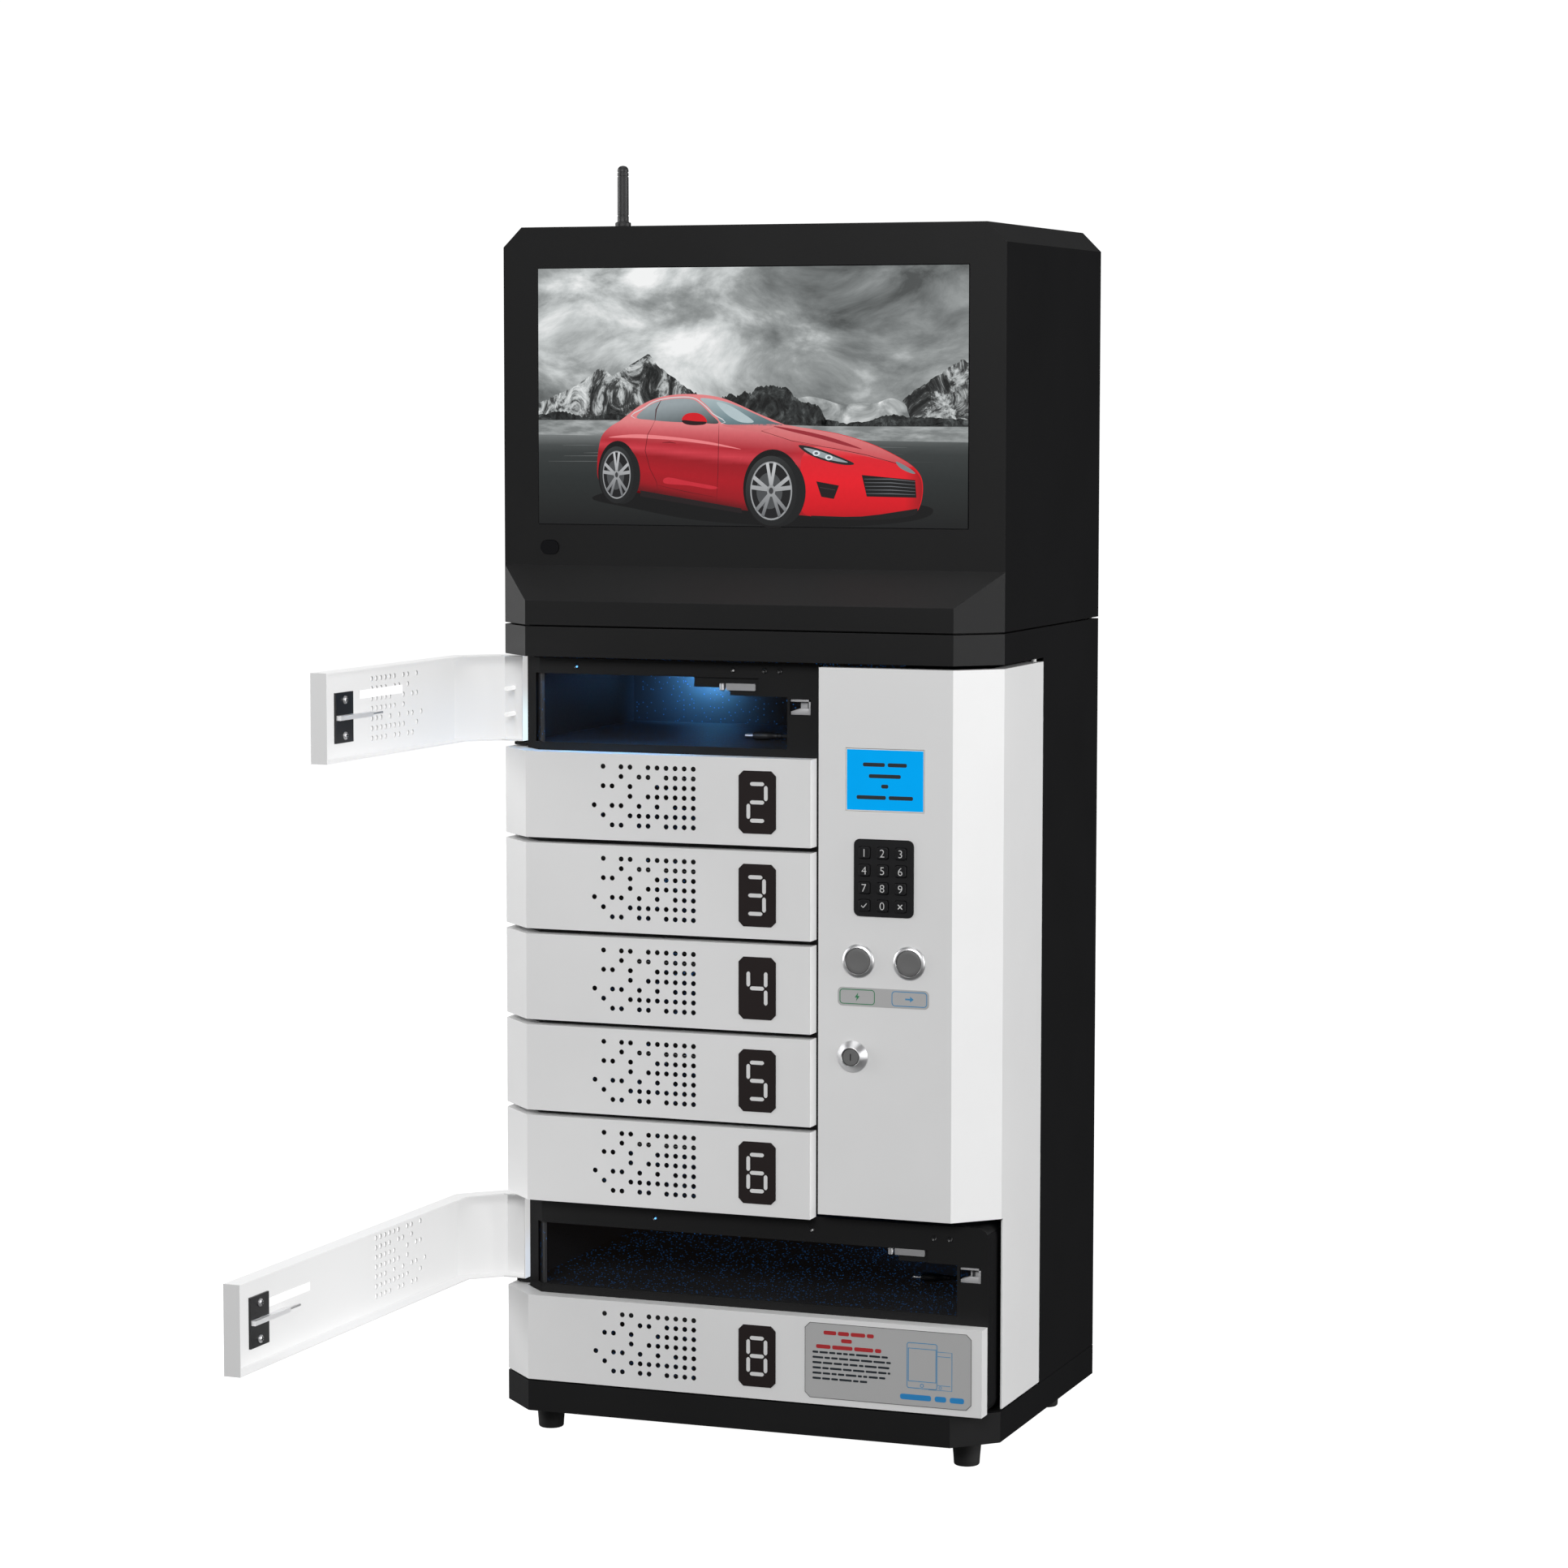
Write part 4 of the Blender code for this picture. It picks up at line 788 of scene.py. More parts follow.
def dashes(mesh, x0, z, widths, height, near, far, look, gap):
    """A line of unreadable word-like dashes."""
    x = x0
    for width in widths:
        add_slab(mesh, round_rect(x, x + width, z - height / 2, z + height / 2,
                                  height * 0.35, 2), near, far, look)
        x += width + gap


def word_lengths(rng, total, shortest, longest, least, gap):
    """Random word lengths that fill a line, until less than `least` of it is left."""
    words = []
    while total > least:
        words.append(min(total, rng.uniform(shortest, longest)))
        total -= words[-1] + gap
    return words


def door_sticker():
    """Grey notice plate of door 8, with unreadable lines and a generic device drawing."""
    x0, x1, z0, z1 = 0.0564, 0.1884, 0.0517, 0.1093
    front = FRONT - 0.0003
    mesh = bmesh.new()
    add_slab(mesh, cut_rect(x0, x1, z0, z1, 0.0040), front, FRONT + 0.0001, 0)
    outer = cut_rect(x0, x1, z0, z1, 0.0040)
    inner = cut_rect(x0 + 0.0004, x1 - 0.0004, z0 + 0.0004, z1 - 0.0004, 0.00385)
    ring_slab(mesh, outer, inner, front - 0.00008, front + 0.00002, 1)
    ink = (front - 0.00008, front + 0.00002)
    rng = random.Random(4)
    for z, start, total in ((-0.0072, 0.0150, 0.040), (-0.0126, 0.0290, 0.011),
                            (-0.0180, 0.0090, 0.052)):
        words = word_lengths(rng, total, 0.008, 0.017, 0.004, 0.0013)
        dashes(mesh, x0 + start, z1 + z, words, 0.0030, *ink, 2, 0.0013)
    for line, total in enumerate((0.060, 0.063, 0.063, 0.062, 0.058, 0.046)):
        words = word_lengths(rng, total, 0.003, 0.010, 0.002, 0.0010)
        dashes(mesh, x0 + 0.0062, z1 - 0.0224 - 0.0040 * line, words, 0.0016, *ink, 3, 0.0010)
    tablet = (x0 + 0.0812, x0 + 0.1052, z1 - 0.0440, z1 - 0.0092)
    outline(mesh, tablet, 0.0018, 0.00055, ink, 4)
    outline(mesh, (tablet[0] + 0.0010, tablet[1] - 0.0008, tablet[2] + 0.0052,
                   tablet[3] - 0.0042), 0.0003, 0.0005, ink, 4)
    ring_slab(mesh, disc((tablet[0] + tablet[1]) / 2, tablet[2] + 0.0025, 0.0015),
              disc((tablet[0] + tablet[1]) / 2, tablet[2] + 0.0025, 0.0010), *ink, 4)
    phone = (tablet[1] + 0.0002, tablet[1] + 0.0115, z1 - 0.0440, z1 - 0.0150)
    points = [(phone[0], phone[3]), (phone[1], phone[3]), (phone[1], phone[2]),
              (phone[0] - 0.007, phone[2])]
    polyline(mesh, points, 0.0005, *ink, 4)
    for z in (phone[3] - 0.0034, phone[2] + 0.0036):
        polyline(mesh, [(phone[0], z), (phone[1] - 0.0012, z)], 0.0004, *ink, 4)
    ring_slab(mesh, disc(phone[0] + 0.0022, phone[2] + 0.0019, 0.0012),
              disc(phone[0] + 0.0022, phone[2] + 0.0019, 0.0008), *ink, 4)
    dashes(mesh, x0 + 0.0760, z0 + 0.0068, (0.0245, 0.0090, 0.0112), 0.0042, *ink, 5, 0.0028)
    finish_piece("door_8_notice", mesh,
                 ("sticker", "line_dark", "red", "ink", "blue", "blue_text"),
                 "locker_door_8")


def disc(x, z, radius, steps=24):
    return [(x + radius * math.cos(2 * math.pi * i / steps),
             z + radius * math.sin(2 * math.pi * i / steps)) for i in range(steps)]


def outline(mesh, box, radius, width, ink, look):
    x0, x1, z0, z1 = box
    ring_slab(mesh, round_rect(x0, x1, z0, z1, radius, 4),
              round_rect(x0 + width, x1 - width, z0 + width, z1 - width,
                         max(radius - width, 0.0001), 4), *ink, look)


# ---------------------------------------------------------------- lock hardware

def locker_hardware(number):
    """Header screws, the roller beside the bolt and the steel catch in the jamb."""
    right = 0.1722 if number in WIDE_DOORS else 0.0364
    wide = number in WIDE_DOORS
    top = door_top(number)
    mesh = bmesh.new()
    spots = ((-0.1712, -0.0434, -0.0180, -0.0059), (-0.2432, -0.1151, -0.0181, -0.0057))[wide]
    drop = 0.0059 if wide else 0.0056
    for index, shift in enumerate(spots):
        add_turned(mesh, ((-0.0006, 0.00225), (0.0001, 0.0022), (0.0006, 0.0018),
                          (0.0003, 0.0012), (0.0000, 0.0007), (-0.0001, 0.0001)), 24,
                   facing(right + shift, FRAME_FRONT, top - drop))
        # the first two screws get a dot: a glowing blue painted glint on the first, a white
        # painted glint on the second
        if index < 2:
            spot = disc(right + shift + 0.0004, top - drop - 0.0003, 0.00070, 10)
            add_slab(mesh, spot, FRAME_FRONT - 0.0007, FRAME_FRONT, 1 + index)
    finish_piece(f"header_screws_{number}", mesh, ("striker", "blue_glint", "glint"), "cabinet",
                 None, 35)
    mesh = bmesh.new()
    bolt_low, bolt_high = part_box(f"latch_{number}")
    half = (bolt_high.z - bolt_low.z) / 2 + 0.0001
    middle = (bolt_low.x - 0.0032, FRAME_FRONT + 0.0010, (bolt_low.z + bolt_high.z) / 2)
    add_turned(mesh, ((-half, 0.0017), (-half + 0.0004, 0.0021), (half - 0.0004, 0.0021),
                      (half, 0.0017)), 28, Matrix.Translation(middle))
    finish_piece(f"latch_roller_{number}", mesh, ("chrome",), f"locker_latch_{number}",
                 None, 40)
    mesh = bmesh.new()
    y0 = FRAME_FRONT + 0.0009
    left = right + 0.0021
    low = top - 0.0382
    for outline_points, near, far in (
        (rect(left + 0.0070, left + 0.0163, low + 0.0030, low + 0.0094), y0 + 0.004, y0 + 0.005),
        (rect(left + 0.0004, left + 0.0163, low + 0.0100, low + 0.0118), y0, y0 + 0.0075),
        ([(left + 0.0004, low + 0.0002), (left + 0.0163, low + 0.0002),
          (left + 0.0163, low + 0.0050), (left + 0.0078, low + 0.0050),
          (left + 0.0004, low + 0.0026)], y0 + 0.0004, y0 + 0.0065),
        (rect(left + 0.0147, left + 0.0163, low + 0.0002, low + 0.0118), y0, y0 + 0.0080),
    ):
        add_slab(mesh, outline_points, near, far, 0, 0.00015)
    finish_piece(f"jamb_catch_{number}", mesh, ("zinc",), "cabinet", None, 35)


# ---------------------------------------------------------------- service panel

def text_shape(body, size):
    """Flat outline of one numeral, centred on the origin in the x-z plane."""
    curve = bpy.data.curves.new("numeral", "FONT")
    curve.body = body
    curve.size = size
    curve.align_x = "CENTER"
    curve.resolution_u = 4
    curve.extrude = 0.00006
    curve.offset = -0.00009
    holder = add_object("numeral", curve)
    bpy.context.view_layer.update()
    graph = bpy.context.evaluated_depsgraph_get()
    data = bpy.data.meshes.new_from_object(holder.evaluated_get(graph))
    bpy.data.objects.remove(holder)
    mesh = bmesh.new()
    mesh.from_mesh(data)
    bpy.data.meshes.remove(data)
    xs = [v.co.x for v in mesh.verts]
    ys = [v.co.y for v in mesh.verts]
    shift = (-(min(xs) + max(xs)) / 2, -(min(ys) + max(ys)) / 2, 0)
    bmesh.ops.translate(mesh, vec=shift, verts=mesh.verts)
    bmesh.ops.transform(mesh, matrix=Matrix.Rotation(math.radians(90), 4, "X"),
                        verts=mesh.verts)
    return mesh


def key_legends():
    for key in list("1234567890") + ["enter", "cancel"]:
        low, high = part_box(f"key_{key}")
        x, z, front = (low.x + high.x) / 2, (low.z + high.z) / 2, low.y
        if key == "enter":
            mesh = bmesh.new()
            polyline(mesh, [(-0.0020, -0.0001), (-0.0006, -0.0016), (0.0022, 0.0016)], 0.0007,
                     -0.00006, 0.00006)
        elif key == "cancel":
            mesh = bmesh.new()
            polyline(mesh, [(-0.0017, -0.0017), (0.0017, 0.0017)], 0.0007, -0.00006, 0.00006)
            polyline(mesh, [(-0.0017, 0.0017), (0.0017, -0.0017)], 0.0007, -0.00007, 0.00005)
        else:
            mesh = text_shape(key, 0.0086)
        finish_piece(f"legend_{key}", mesh, ("legend",), f"keypad_key_{key}",
                     Matrix.Translation((x, front - 0.00002, z)))


def lcd_face():
    """Lit window with a pale edge and unreadable centred lines."""
    low, high = Vector((0.0881, 0, 0.4973)), Vector((0.1492, 0, 0.5436))
    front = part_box("lcd_module")[0].y
    mesh = bmesh.new()
    add_slab(mesh, rect(low.x + 0.0008, high.x - 0.0005, low.z + 0.0008, high.z - 0.0006),
             front - 0.00012, front + 0.00005, 0)
    mid = (low.x + high.x) / 2
    ink = (front - 0.00018, front - 0.00008)
    lines = ((0.5320, (0.0172, 0.0150)), (0.5235, (0.0250,)), (0.5160, (0.0055,)),
             (0.5076, (0.0230, 0.0190)))
    for z, words in lines:
        total = sum(words) + 0.0022 * (len(words) - 1)
        dashes(mesh, mid - total / 2, z, words, 0.0029, *ink, 1, 0.0022)
    finish_piece("lcd_window", mesh, ("lcd", "ink"), SERVICE)


def button_label():
    front = FRONT - 0.00022
    ink = (front - 0.00008, front + 0.00002)
    mesh = bmesh.new()
    x0, x1, z0, z1 = 0.0821, 0.1539, 0.3511, 0.3651
    add_slab(mesh, round_rect(x0, x1, z0, z1, 0.0036, 5), front, FRONT + 0.0001, 0)
    outline(mesh, (x0 + 0.0015, x0 + 0.0293, z0 + 0.0014, z1 - 0.0013), 0.0026, 0.0006, ink, 1)
    outline(mesh, (x1 - 0.0293, x1 - 0.0015, z0 + 0.0014, z1 - 0.0013), 0.0026, 0.0006, ink, 2)
    cx, cz = x0 + 0.0154, (z0 + z1) / 2
    bolt = [(0.8, 3.4), (-1.9, -0.5), (-0.3, -0.5), (-0.9, -3.4), (1.9, 0.7), (0.3, 0.7)]
    add_slab(mesh, [(cx + a * MM, cz + b * MM) for a, b in bolt], *ink, 1)
    cx = x1 - 0.0154
    arrow = [(-3.2, -0.6), (0.6, -0.6), (0.6, -2.2), (3.4, 0.0), (0.6, 2.2), (0.6, 0.6),
             (-3.2, 0.6)]
    add_slab(mesh, [(cx + a * MM, cz + b * MM) for a, b in arrow], *ink, 2)
    finish_piece("button_label", mesh, ("label", "green", "blue"), SERVICE)


def buttons_and_lock():
    """Fine turned versions of the push buttons and the cam lock's face."""
    for side in ("left", "right"):
        low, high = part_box(f"button_bezel_{side}")
        x, z, front = (low.x + high.x) / 2, (low.z + high.z) / 2, low.y
        outer = (high.x - low.x) / 2
        cap_low, cap_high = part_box(f"button_cap_{side}")
        cap = (cap_high.x - cap_low.x) / 2
        mesh = bmesh.new()
        bore = cap + 0.0002
        profile = ((-0.0210, bore), (-0.0002, bore), (0.0, bore + 0.0002),
                   (-0.00005, bore + 0.0006), (-0.0006, outer - 0.0009),
                   (-0.0012, outer - 0.0002), (-0.0016, outer), (-0.0018, outer),
                   (-0.0018, 0.0112), (-0.0210, 0.0112))
        ring_turned(mesh, profile, 72)
        piece = finish_piece(f"bezel_{side}", mesh, ("chrome",), SERVICE,
                             facing(x, front, z), 28)
        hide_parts(f"button_bezel_{side}")
        mesh = bmesh.new()
        turned(mesh, ((-0.0150, cap), (-0.0006, cap), (-0.0002, cap - 0.00025),
                      (0.0, cap - 0.0007), (-0.00015, cap - 0.0030), (-0.0002, 0.0004)), 64)
        piece = finish_piece(f"cap_{side}", mesh, ("disc",), f"push_button_{side}",
                             facing(x, cap_low.y, z), 30)
        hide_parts(f"button_cap_{side}")
    low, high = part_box("lock_barrel")
    x, z = (low.x + high.x) / 2, (low.z + high.z) / 2
    mesh = bmesh.new()
    ring_turned(mesh, ((-0.0231, 0.0068), (-0.0003, 0.0068), (0.0, 0.0071), (-0.0001, 0.0075),
                       (-0.0042, 0.0117), (-0.0046, 0.0120), (-0.0049, 0.0120),
                       (-0.0049, 0.0086), (-0.0231, 0.0086)), 72)
    piece = finish_piece("lock_collar", mesh, ("chrome",), SERVICE,
                         facing(x, low.y, z), 28)
    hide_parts("lock_barrel")


def ring_turned(mesh, profile, steps):
    """Turns a closed (height, radius) profile about Z into a ring."""
    rings = []
    for height, radius in profile:
        rings.append([mesh.verts.new((radius * math.cos(2 * math.pi * i / steps),
                                      radius * math.sin(2 * math.pi * i / steps), height))
                      for i in range(steps)])
    for a, b in zip(rings, rings[1:] + rings[:1]):
        for i in range(steps):
            j = (i + 1) % steps
            mesh.faces.new((a[i], b[i], b[j], a[j]))
    bmesh.ops.recalc_face_normals(mesh, faces=mesh.faces[:])


# ---------------------------------------------------------------- cords

def charge_leads():
    for number in OPEN_DOORS:
        tail = {1: (0.0040, -0.0480), 7: (0.1290, -0.0090)}[number]
        angle = math.radians({1: 2, 7: 8}[number])
        low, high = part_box(f"charge_plug_{number}")
        level = (low.z + high.z) / 2
        wall = {1: 0.0535, 7: 0.1850}[number] - 0.0015 - 0.0030 - 0.0003
        start = Vector((tail[0] + 0.0003 * math.cos(angle), tail[1] + 0.0003 * math.sin(angle),
                        level))
        reach = (wall - tail[0]) * 0.45
        ways = (Vector((*tail, level)),
                Vector((tail[0] + reach * math.cos(angle), tail[1] + reach * math.sin(angle),
                        level)),
                Vector((wall - reach, tail[1] + 0.003, level)),
                Vector((wall, tail[1] + 0.003, level)))
        points = []
        for step in range(21):
            t = step / 20
            weights = ((1 - t) ** 3, 3 * t * (1 - t) ** 2, 3 * t * t * (1 - t), t ** 3)
            point = sum((w * k for w, k in zip(ways, weights)), Vector())
            point.z -= 0.0012 * math.sin(math.pi * t) ** 2
            points.append(point)
        points[0] = start
        curve = bpy.data.curves.new(f"lead_{number}", "CURVE")
        curve.dimensions = "3D"
        curve.bevel_depth = 0.0017
        curve.bevel_resolution = 4
        curve.use_fill_caps = True
        spline = curve.splines.new("POLY")
        spline.points.add(len(points) - 1)
        for spot, point in zip(spline.points, reversed(points)):
            spot.co = (*point, 1.0)
        curve.materials.append(M["rubber"])
        lead = add_object(f"lead_{number}", curve)
        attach(lead, "cabinet")
        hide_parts(f"charge_lead_{number}")
        plug = connector(number, tail, level, angle)


def connector(number, tail, level, angle):
    """Moulded connector: metal tongue, shoulder, grip and tapered strain relief."""
    sections = ((29.0, 3.7, 1.15), (28.7, 4.0, 1.3), (22.3, 4.05, 1.3), (22.2, 4.9, 2.3),
                (21.8, 5.3, 2.8), (20.5, 5.5, 3.0), (16.0, 5.45, 3.0), (12.0, 5.4, 2.95),
                (9.5, 4.6, 2.7), (7.0, 3.0, 2.4), (5.0, 2.3, 2.1), (3.4, 2.2, 2.1),
                (3.2, 1.95, 1.95), (2.4, 1.95, 1.95), (2.2, 2.15, 2.1), (1.2, 2.1, 2.05),
                (1.0, 1.9, 1.9), (0.0, 1.9, 1.9))
    mesh = bmesh.new()
    rings = []
    for station, wide, high in sections:
        ring = []
        for a, b in round_rect(-wide, wide, -high, high, min(wide, high) * 0.92, 5):
            ring.append(mesh.verts.new((-station * MM, a * MM, b * MM)))
        rings.append(ring)
    mesh.faces.new(rings[0])
    mesh.faces.new(list(reversed(rings[-1])))
    count = len(rings[0])
    for k, (near, far) in enumerate(zip(rings, rings[1:])):
        for i in range(count):
            j = (i + 1) % count
            face = mesh.faces.new((near[i], near[j], far[j], far[i]))
            face.material_index = 1 if k < 3 else 0
    bmesh.ops.recalc_face_normals(mesh, faces=mesh.faces[:])
    for face in mesh.faces:
        if face.calc_center_median().x < -0.0285:
            face.material_index = 1
    where = Matrix.Translation((*tail, level)) @ Matrix.Rotation(angle, 4, "Z")
    plug = finish_piece(f"connector_{number}", mesh, ("plastic", "chrome"), "cabinet",
                        where, 40)
    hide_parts(f"charge_plug_{number}")
    return plug


# ---------------------------------------------------------------- head, feet, rear

def antenna():
    low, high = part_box("antenna")
    x, y = (low.x + high.x) / 2, (low.y + high.y) / 2
    top = high.z - low.z
    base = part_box("head_shell")[1].z - low.z + 0.0003
    profile = [(0.0, 0.0026), (base - 0.0002, 0.0026), (base, 0.0058), (base + 0.0002, 0.0060),
               (base + 0.0028, 0.0060), (base + 0.0034, 0.0056), (base + 0.0036, 0.0046),
               (base + 0.0042, 0.0043), (base + 0.0080, 0.0043), (base + 0.0081, 0.0040),
               (base + 0.0089, 0.0040), (base + 0.0090, 0.0043)]
    for drop in (0.0085, 0.0055):
        profile += [(top - drop, 0.00425), (top - drop + 0.0001, 0.0038),
                    (top - drop + 0.0008, 0.0038), (top - drop + 0.0009, 0.00425)]
    profile += [(top - 0.0030, 0.0042), (top - 0.0015, 0.0036), (top - 0.0005, 0.0025),
                (top, 0.0008)]
    mesh = bmesh.new()
    turned(mesh, profile, 48)
    piece = finish_piece("antenna_stub", mesh, ("plastic",), "cabinet",
                         Matrix.Translation((x, y, low.z)), 30)
    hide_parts("antenna")


def feet():
    for name in ("front_left", "front_right", "rear_left", "rear_right"):
        low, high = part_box(f"foot_{name}")
        x, y = (low.x + high.x) / 2, (low.y + high.y) / 2
        mesh = bmesh.new()
        top = high.z
        turned(mesh, ((0.0, 0.0088), (0.0004, 0.0094), (0.0012, 0.0098), (0.0060, 0.0101),
                      (top - 0.0030, 0.0112), (top - 0.0006, 0.0115), (top, 0.0114)), 48)
        piece = finish_piece(f"foot_pad_{name}", mesh, ("rubber",), "cabinet",
                             Matrix.Translation((x, y, 0)), 30)
        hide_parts(f"foot_{name}")


def rear_details():
    """Screws of the two rear covers and the inlet's three contacts."""
    mesh = bmesh.new()
    for node in ("rear_cover", "head_rear_cover"):
        low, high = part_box(node)
        mid = (low.z + high.z) / 2
        for x in (low.x + 0.009, high.x - 0.009):
            for z in (low.z + 0.009, mid, high.z - 0.009):
                add_turned(mesh, ((0.0, 0.0036), (0.0008, 0.0035), (0.0016, 0.0026),
                                  (0.0019, 0.0013), (0.0011, 0.0009), (0.0010, 0.0002)),
                           24, facing(x, high.y - 0.0001, z, -90))
    finish_piece("rear_screws", mesh, ("steel",), "cabinet", None, 35)
    low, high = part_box("power_inlet")
    x, z = (low.x + high.x) / 2, (low.z + high.z) / 2
    mesh = bmesh.new()
    for dx, dz in ((-0.0060, 0.0), (0.0060, 0.0), (0.0, 0.0035)):
        add_slab(mesh, rect(x + dx - 0.0010, x + dx + 0.0010, z + dz - 0.0024, z + dz + 0.0024),
                 high.y - 0.0093, high.y - 0.0015, 0, 0.0002)
    finish_piece("inlet_contacts", mesh, ("brass",), "cabinet", None, 35)


# ---------------------------------------------------------------- picture on the display

LAYER = 0.00004


def srgb(*values):
    """Linear colour of an 8-bit display colour."""
    found = []
    for value in values:
        v = value / 255
        found.append(v / 12.92 if v <= 0.04045 else ((v + 0.055) / 1.055) ** 2.4)
    return tuple(found)


def blend(a, b, t):
    t = min(max(t, 0.0), 1.0)
    return tuple(x + (y - x) * t for x, y in zip(a, b))


def ramp(stops, t):
    for (t0, c0), (t1, c1) in zip(stops, stops[1:]):
        if t <= t1:
            return blend(c0, c1, (t - t0) / (t1 - t0))
    return stops[-1][1]


def smooth_loop(points, steps=6):
    """Closed Catmull-Rom curve through the points; a point given twice keeps its corner."""
    found = []
    count = len(points)
    for i in range(count):
        p0, p1, p2, p3 = (points[(i + k - 1) % count] for k in range(4))
        if p1 == p2:
            continue
        if p0 == p1:
            p0 = (2 * p1[0] - p2[0], 2 * p1[1] - p2[1])
        if p2 == p3:
            p3 = (2 * p2[0] - p1[0], 2 * p2[1] - p1[1])
        for k in range(steps):
            t = k / steps
            found.append(tuple(
                0.5 * (2 * b + (c - a) * t + (2 * a - 5 * b + 4 * c - d) * t * t
                       + (3 * b - a - 3 * c + d) * t ** 3)
                for a, b, c, d in zip(p0, p1, p2, p3)))
    return found


class Picture:
    """Flat painted shapes, laid over each other in the plane of the display glass."""

    def __init__(self, left, bottom, front):
        self.left, self.bottom, self.front = left, bottom, front
        self.mesh = bmesh.new()
        self.tint = self.mesh.loops.layers.float_color.new("tint")

    def shape(self, points, layer, colour, look=0, grid=0.0):
        part = bmesh.new()
        verts = [part.verts.new((u * MM, 0.0, v * MM)) for u, v in points]
        part.faces.new(verts)
        bmesh.ops.triangulate(part, faces=part.faces[:])
        if grid:
            for axis in (0, 2):
                low = min(v.co[axis] for v in part.verts)
                high = max(v.co[axis] for v in part.verts)
                normal = (1, 0, 0) if axis == 0 else (0, 0, 1)
                for k in range(1, int((high - low) / (grid * MM)) + 1):
                    at = low + k * grid * MM
                    geom = part.verts[:] + part.edges[:] + part.faces[:]
                    bmesh.ops.bisect_plane(part, geom=geom, dist=1e-7, plane_no=normal,
                                           plane_co=tuple(at * n for n in normal))
        made = {}
        for vert in part.verts:
            place = (self.left + vert.co.x, self.front - layer * LAYER,
                     self.bottom + vert.co.z)
            made[vert] = self.mesh.verts.new(place)
        for face in part.faces:
            corners = [made[v] for v in face.verts]
            fresh = self.mesh.faces.new(corners)
            fresh.normal_update()
            if fresh.normal.y > 0:
                fresh.normal_flip()
            fresh.material_index = look
            for loop in fresh.loops:
                u = (loop.vert.co.x - self.left) / MM
                v = (loop.vert.co.z - self.bottom) / MM
                shade = colour(u, v) if callable(colour) else colour
                loop[self.tint] = (*shade, 1)
        part.free()

    def blob(self, points, layer, colour, grid=0.0, steps=6):
        self.shape(smooth_loop(points, steps), layer, colour, 0, grid)

    def line(self, points, width, layer, colour):
        rails = []
        for i, (u, v) in enumerate(points):
            a, b = points[max(i - 1, 0)], points[min(i + 1, len(points) - 1)]
            du, dv = b[0] - a[0], b[1] - a[1]
            size = math.hypot(du, dv) or 1.0
            thin = width * (0.35 if i in (0, len(points) - 1) else 1.0) / 2
            rails.append(((u - dv / size * thin, v + du / size * thin),
                          (u + dv / size * thin, v - du / size * thin)))
        for (a, b), (c, d) in zip(rails, rails[1:]):
            self.shape([a, c, d, b], layer, colour)


def paint_material():
    """Emits the painted colour with a faint print grain."""
    made = plain("picture_paint", (0.01, 0.01, 0.01), 0.22)
    tree = made.node_tree
    tint = add_node(tree, "VertexColor", layer_name="tint")
    place = add_node(tree, "TexCoord").outputs["Object"]
    grain = add_node(tree, "TexNoise", {"Scale": 260.0, "Vector": place})
    span = add_node(tree, "MapRange", {"To Min": 0.94, "To Max": 1.06,
                                       "Value": grain.outputs["Fac"]})
    scale = add_node(tree, "VectorMath", {0: tint.outputs["Color"], "Scale": span.outputs[0]},
                     operation="SCALE")
    feed(made, {"Emission Color": scale.outputs[0], "Emission Strength": 1.0})
    return made


def tone_material(name, scale, stretch, detail, rough, stops, centre=None, pull=0.0,
                  warp=0.0):
    """Grey tones from noise; a soft bright spot pulls the tone up around a centre."""
    made = plain(name, (0.01, 0.01, 0.01), 0.22)
    tree = made.node_tree
    place = add_node(tree, "TexCoord").outputs["Object"]
    mapping = add_node(tree, "Mapping", {"Scale": stretch, "Vector": place})
    cloud = add_node(tree, "TexNoise", {"Scale": scale, "Detail": detail, "Roughness": rough,
                                        "Distortion": warp, "Vector": mapping.outputs[0]})
    value = cloud.outputs["Fac"]
    if centre:
        where, size, lean = centre
        spot = add_node(tree, "Mapping", {"Location": where, "Rotation": (0, lean, 0),
                                          "Scale": size, "Vector": place},
                        vector_type="TEXTURE")
        fall = add_node(tree, "TexGradient", {"Vector": spot.outputs[0]},
                        gradient_type="SPHERICAL")
        lift = add_node(tree, "Math", {0: fall.outputs["Fac"], 1: pull, 2: value},
                        operation="MULTIPLY_ADD")
        value = lift.outputs[0]
    tones = add_ramp(tree, value, [(at, srgb(*tone)) for at, tone in stops])
    feed(made, {"Emission Color": tones, "Emission Strength": 1.0})
    return made


def ridge(peaks, base, step, rough, seed):
    """Jagged skyline through (u, v) peaks, closed along a base line."""
    rng = random.Random(seed)
    line = []
    for (u0, v0), (u1, v1) in zip(peaks, peaks[1:]):
        count = max(int((u1 - u0) / step), 1)
        for k in range(count):
            t = k / count
            line.append((u0 + (u1 - u0) * t, v0 + (v1 - v0) * t + rng.uniform(-rough, rough)))
    line.append(peaks[-1])
    return line + [(peaks[-1][0], base), (peaks[0][0], base)]


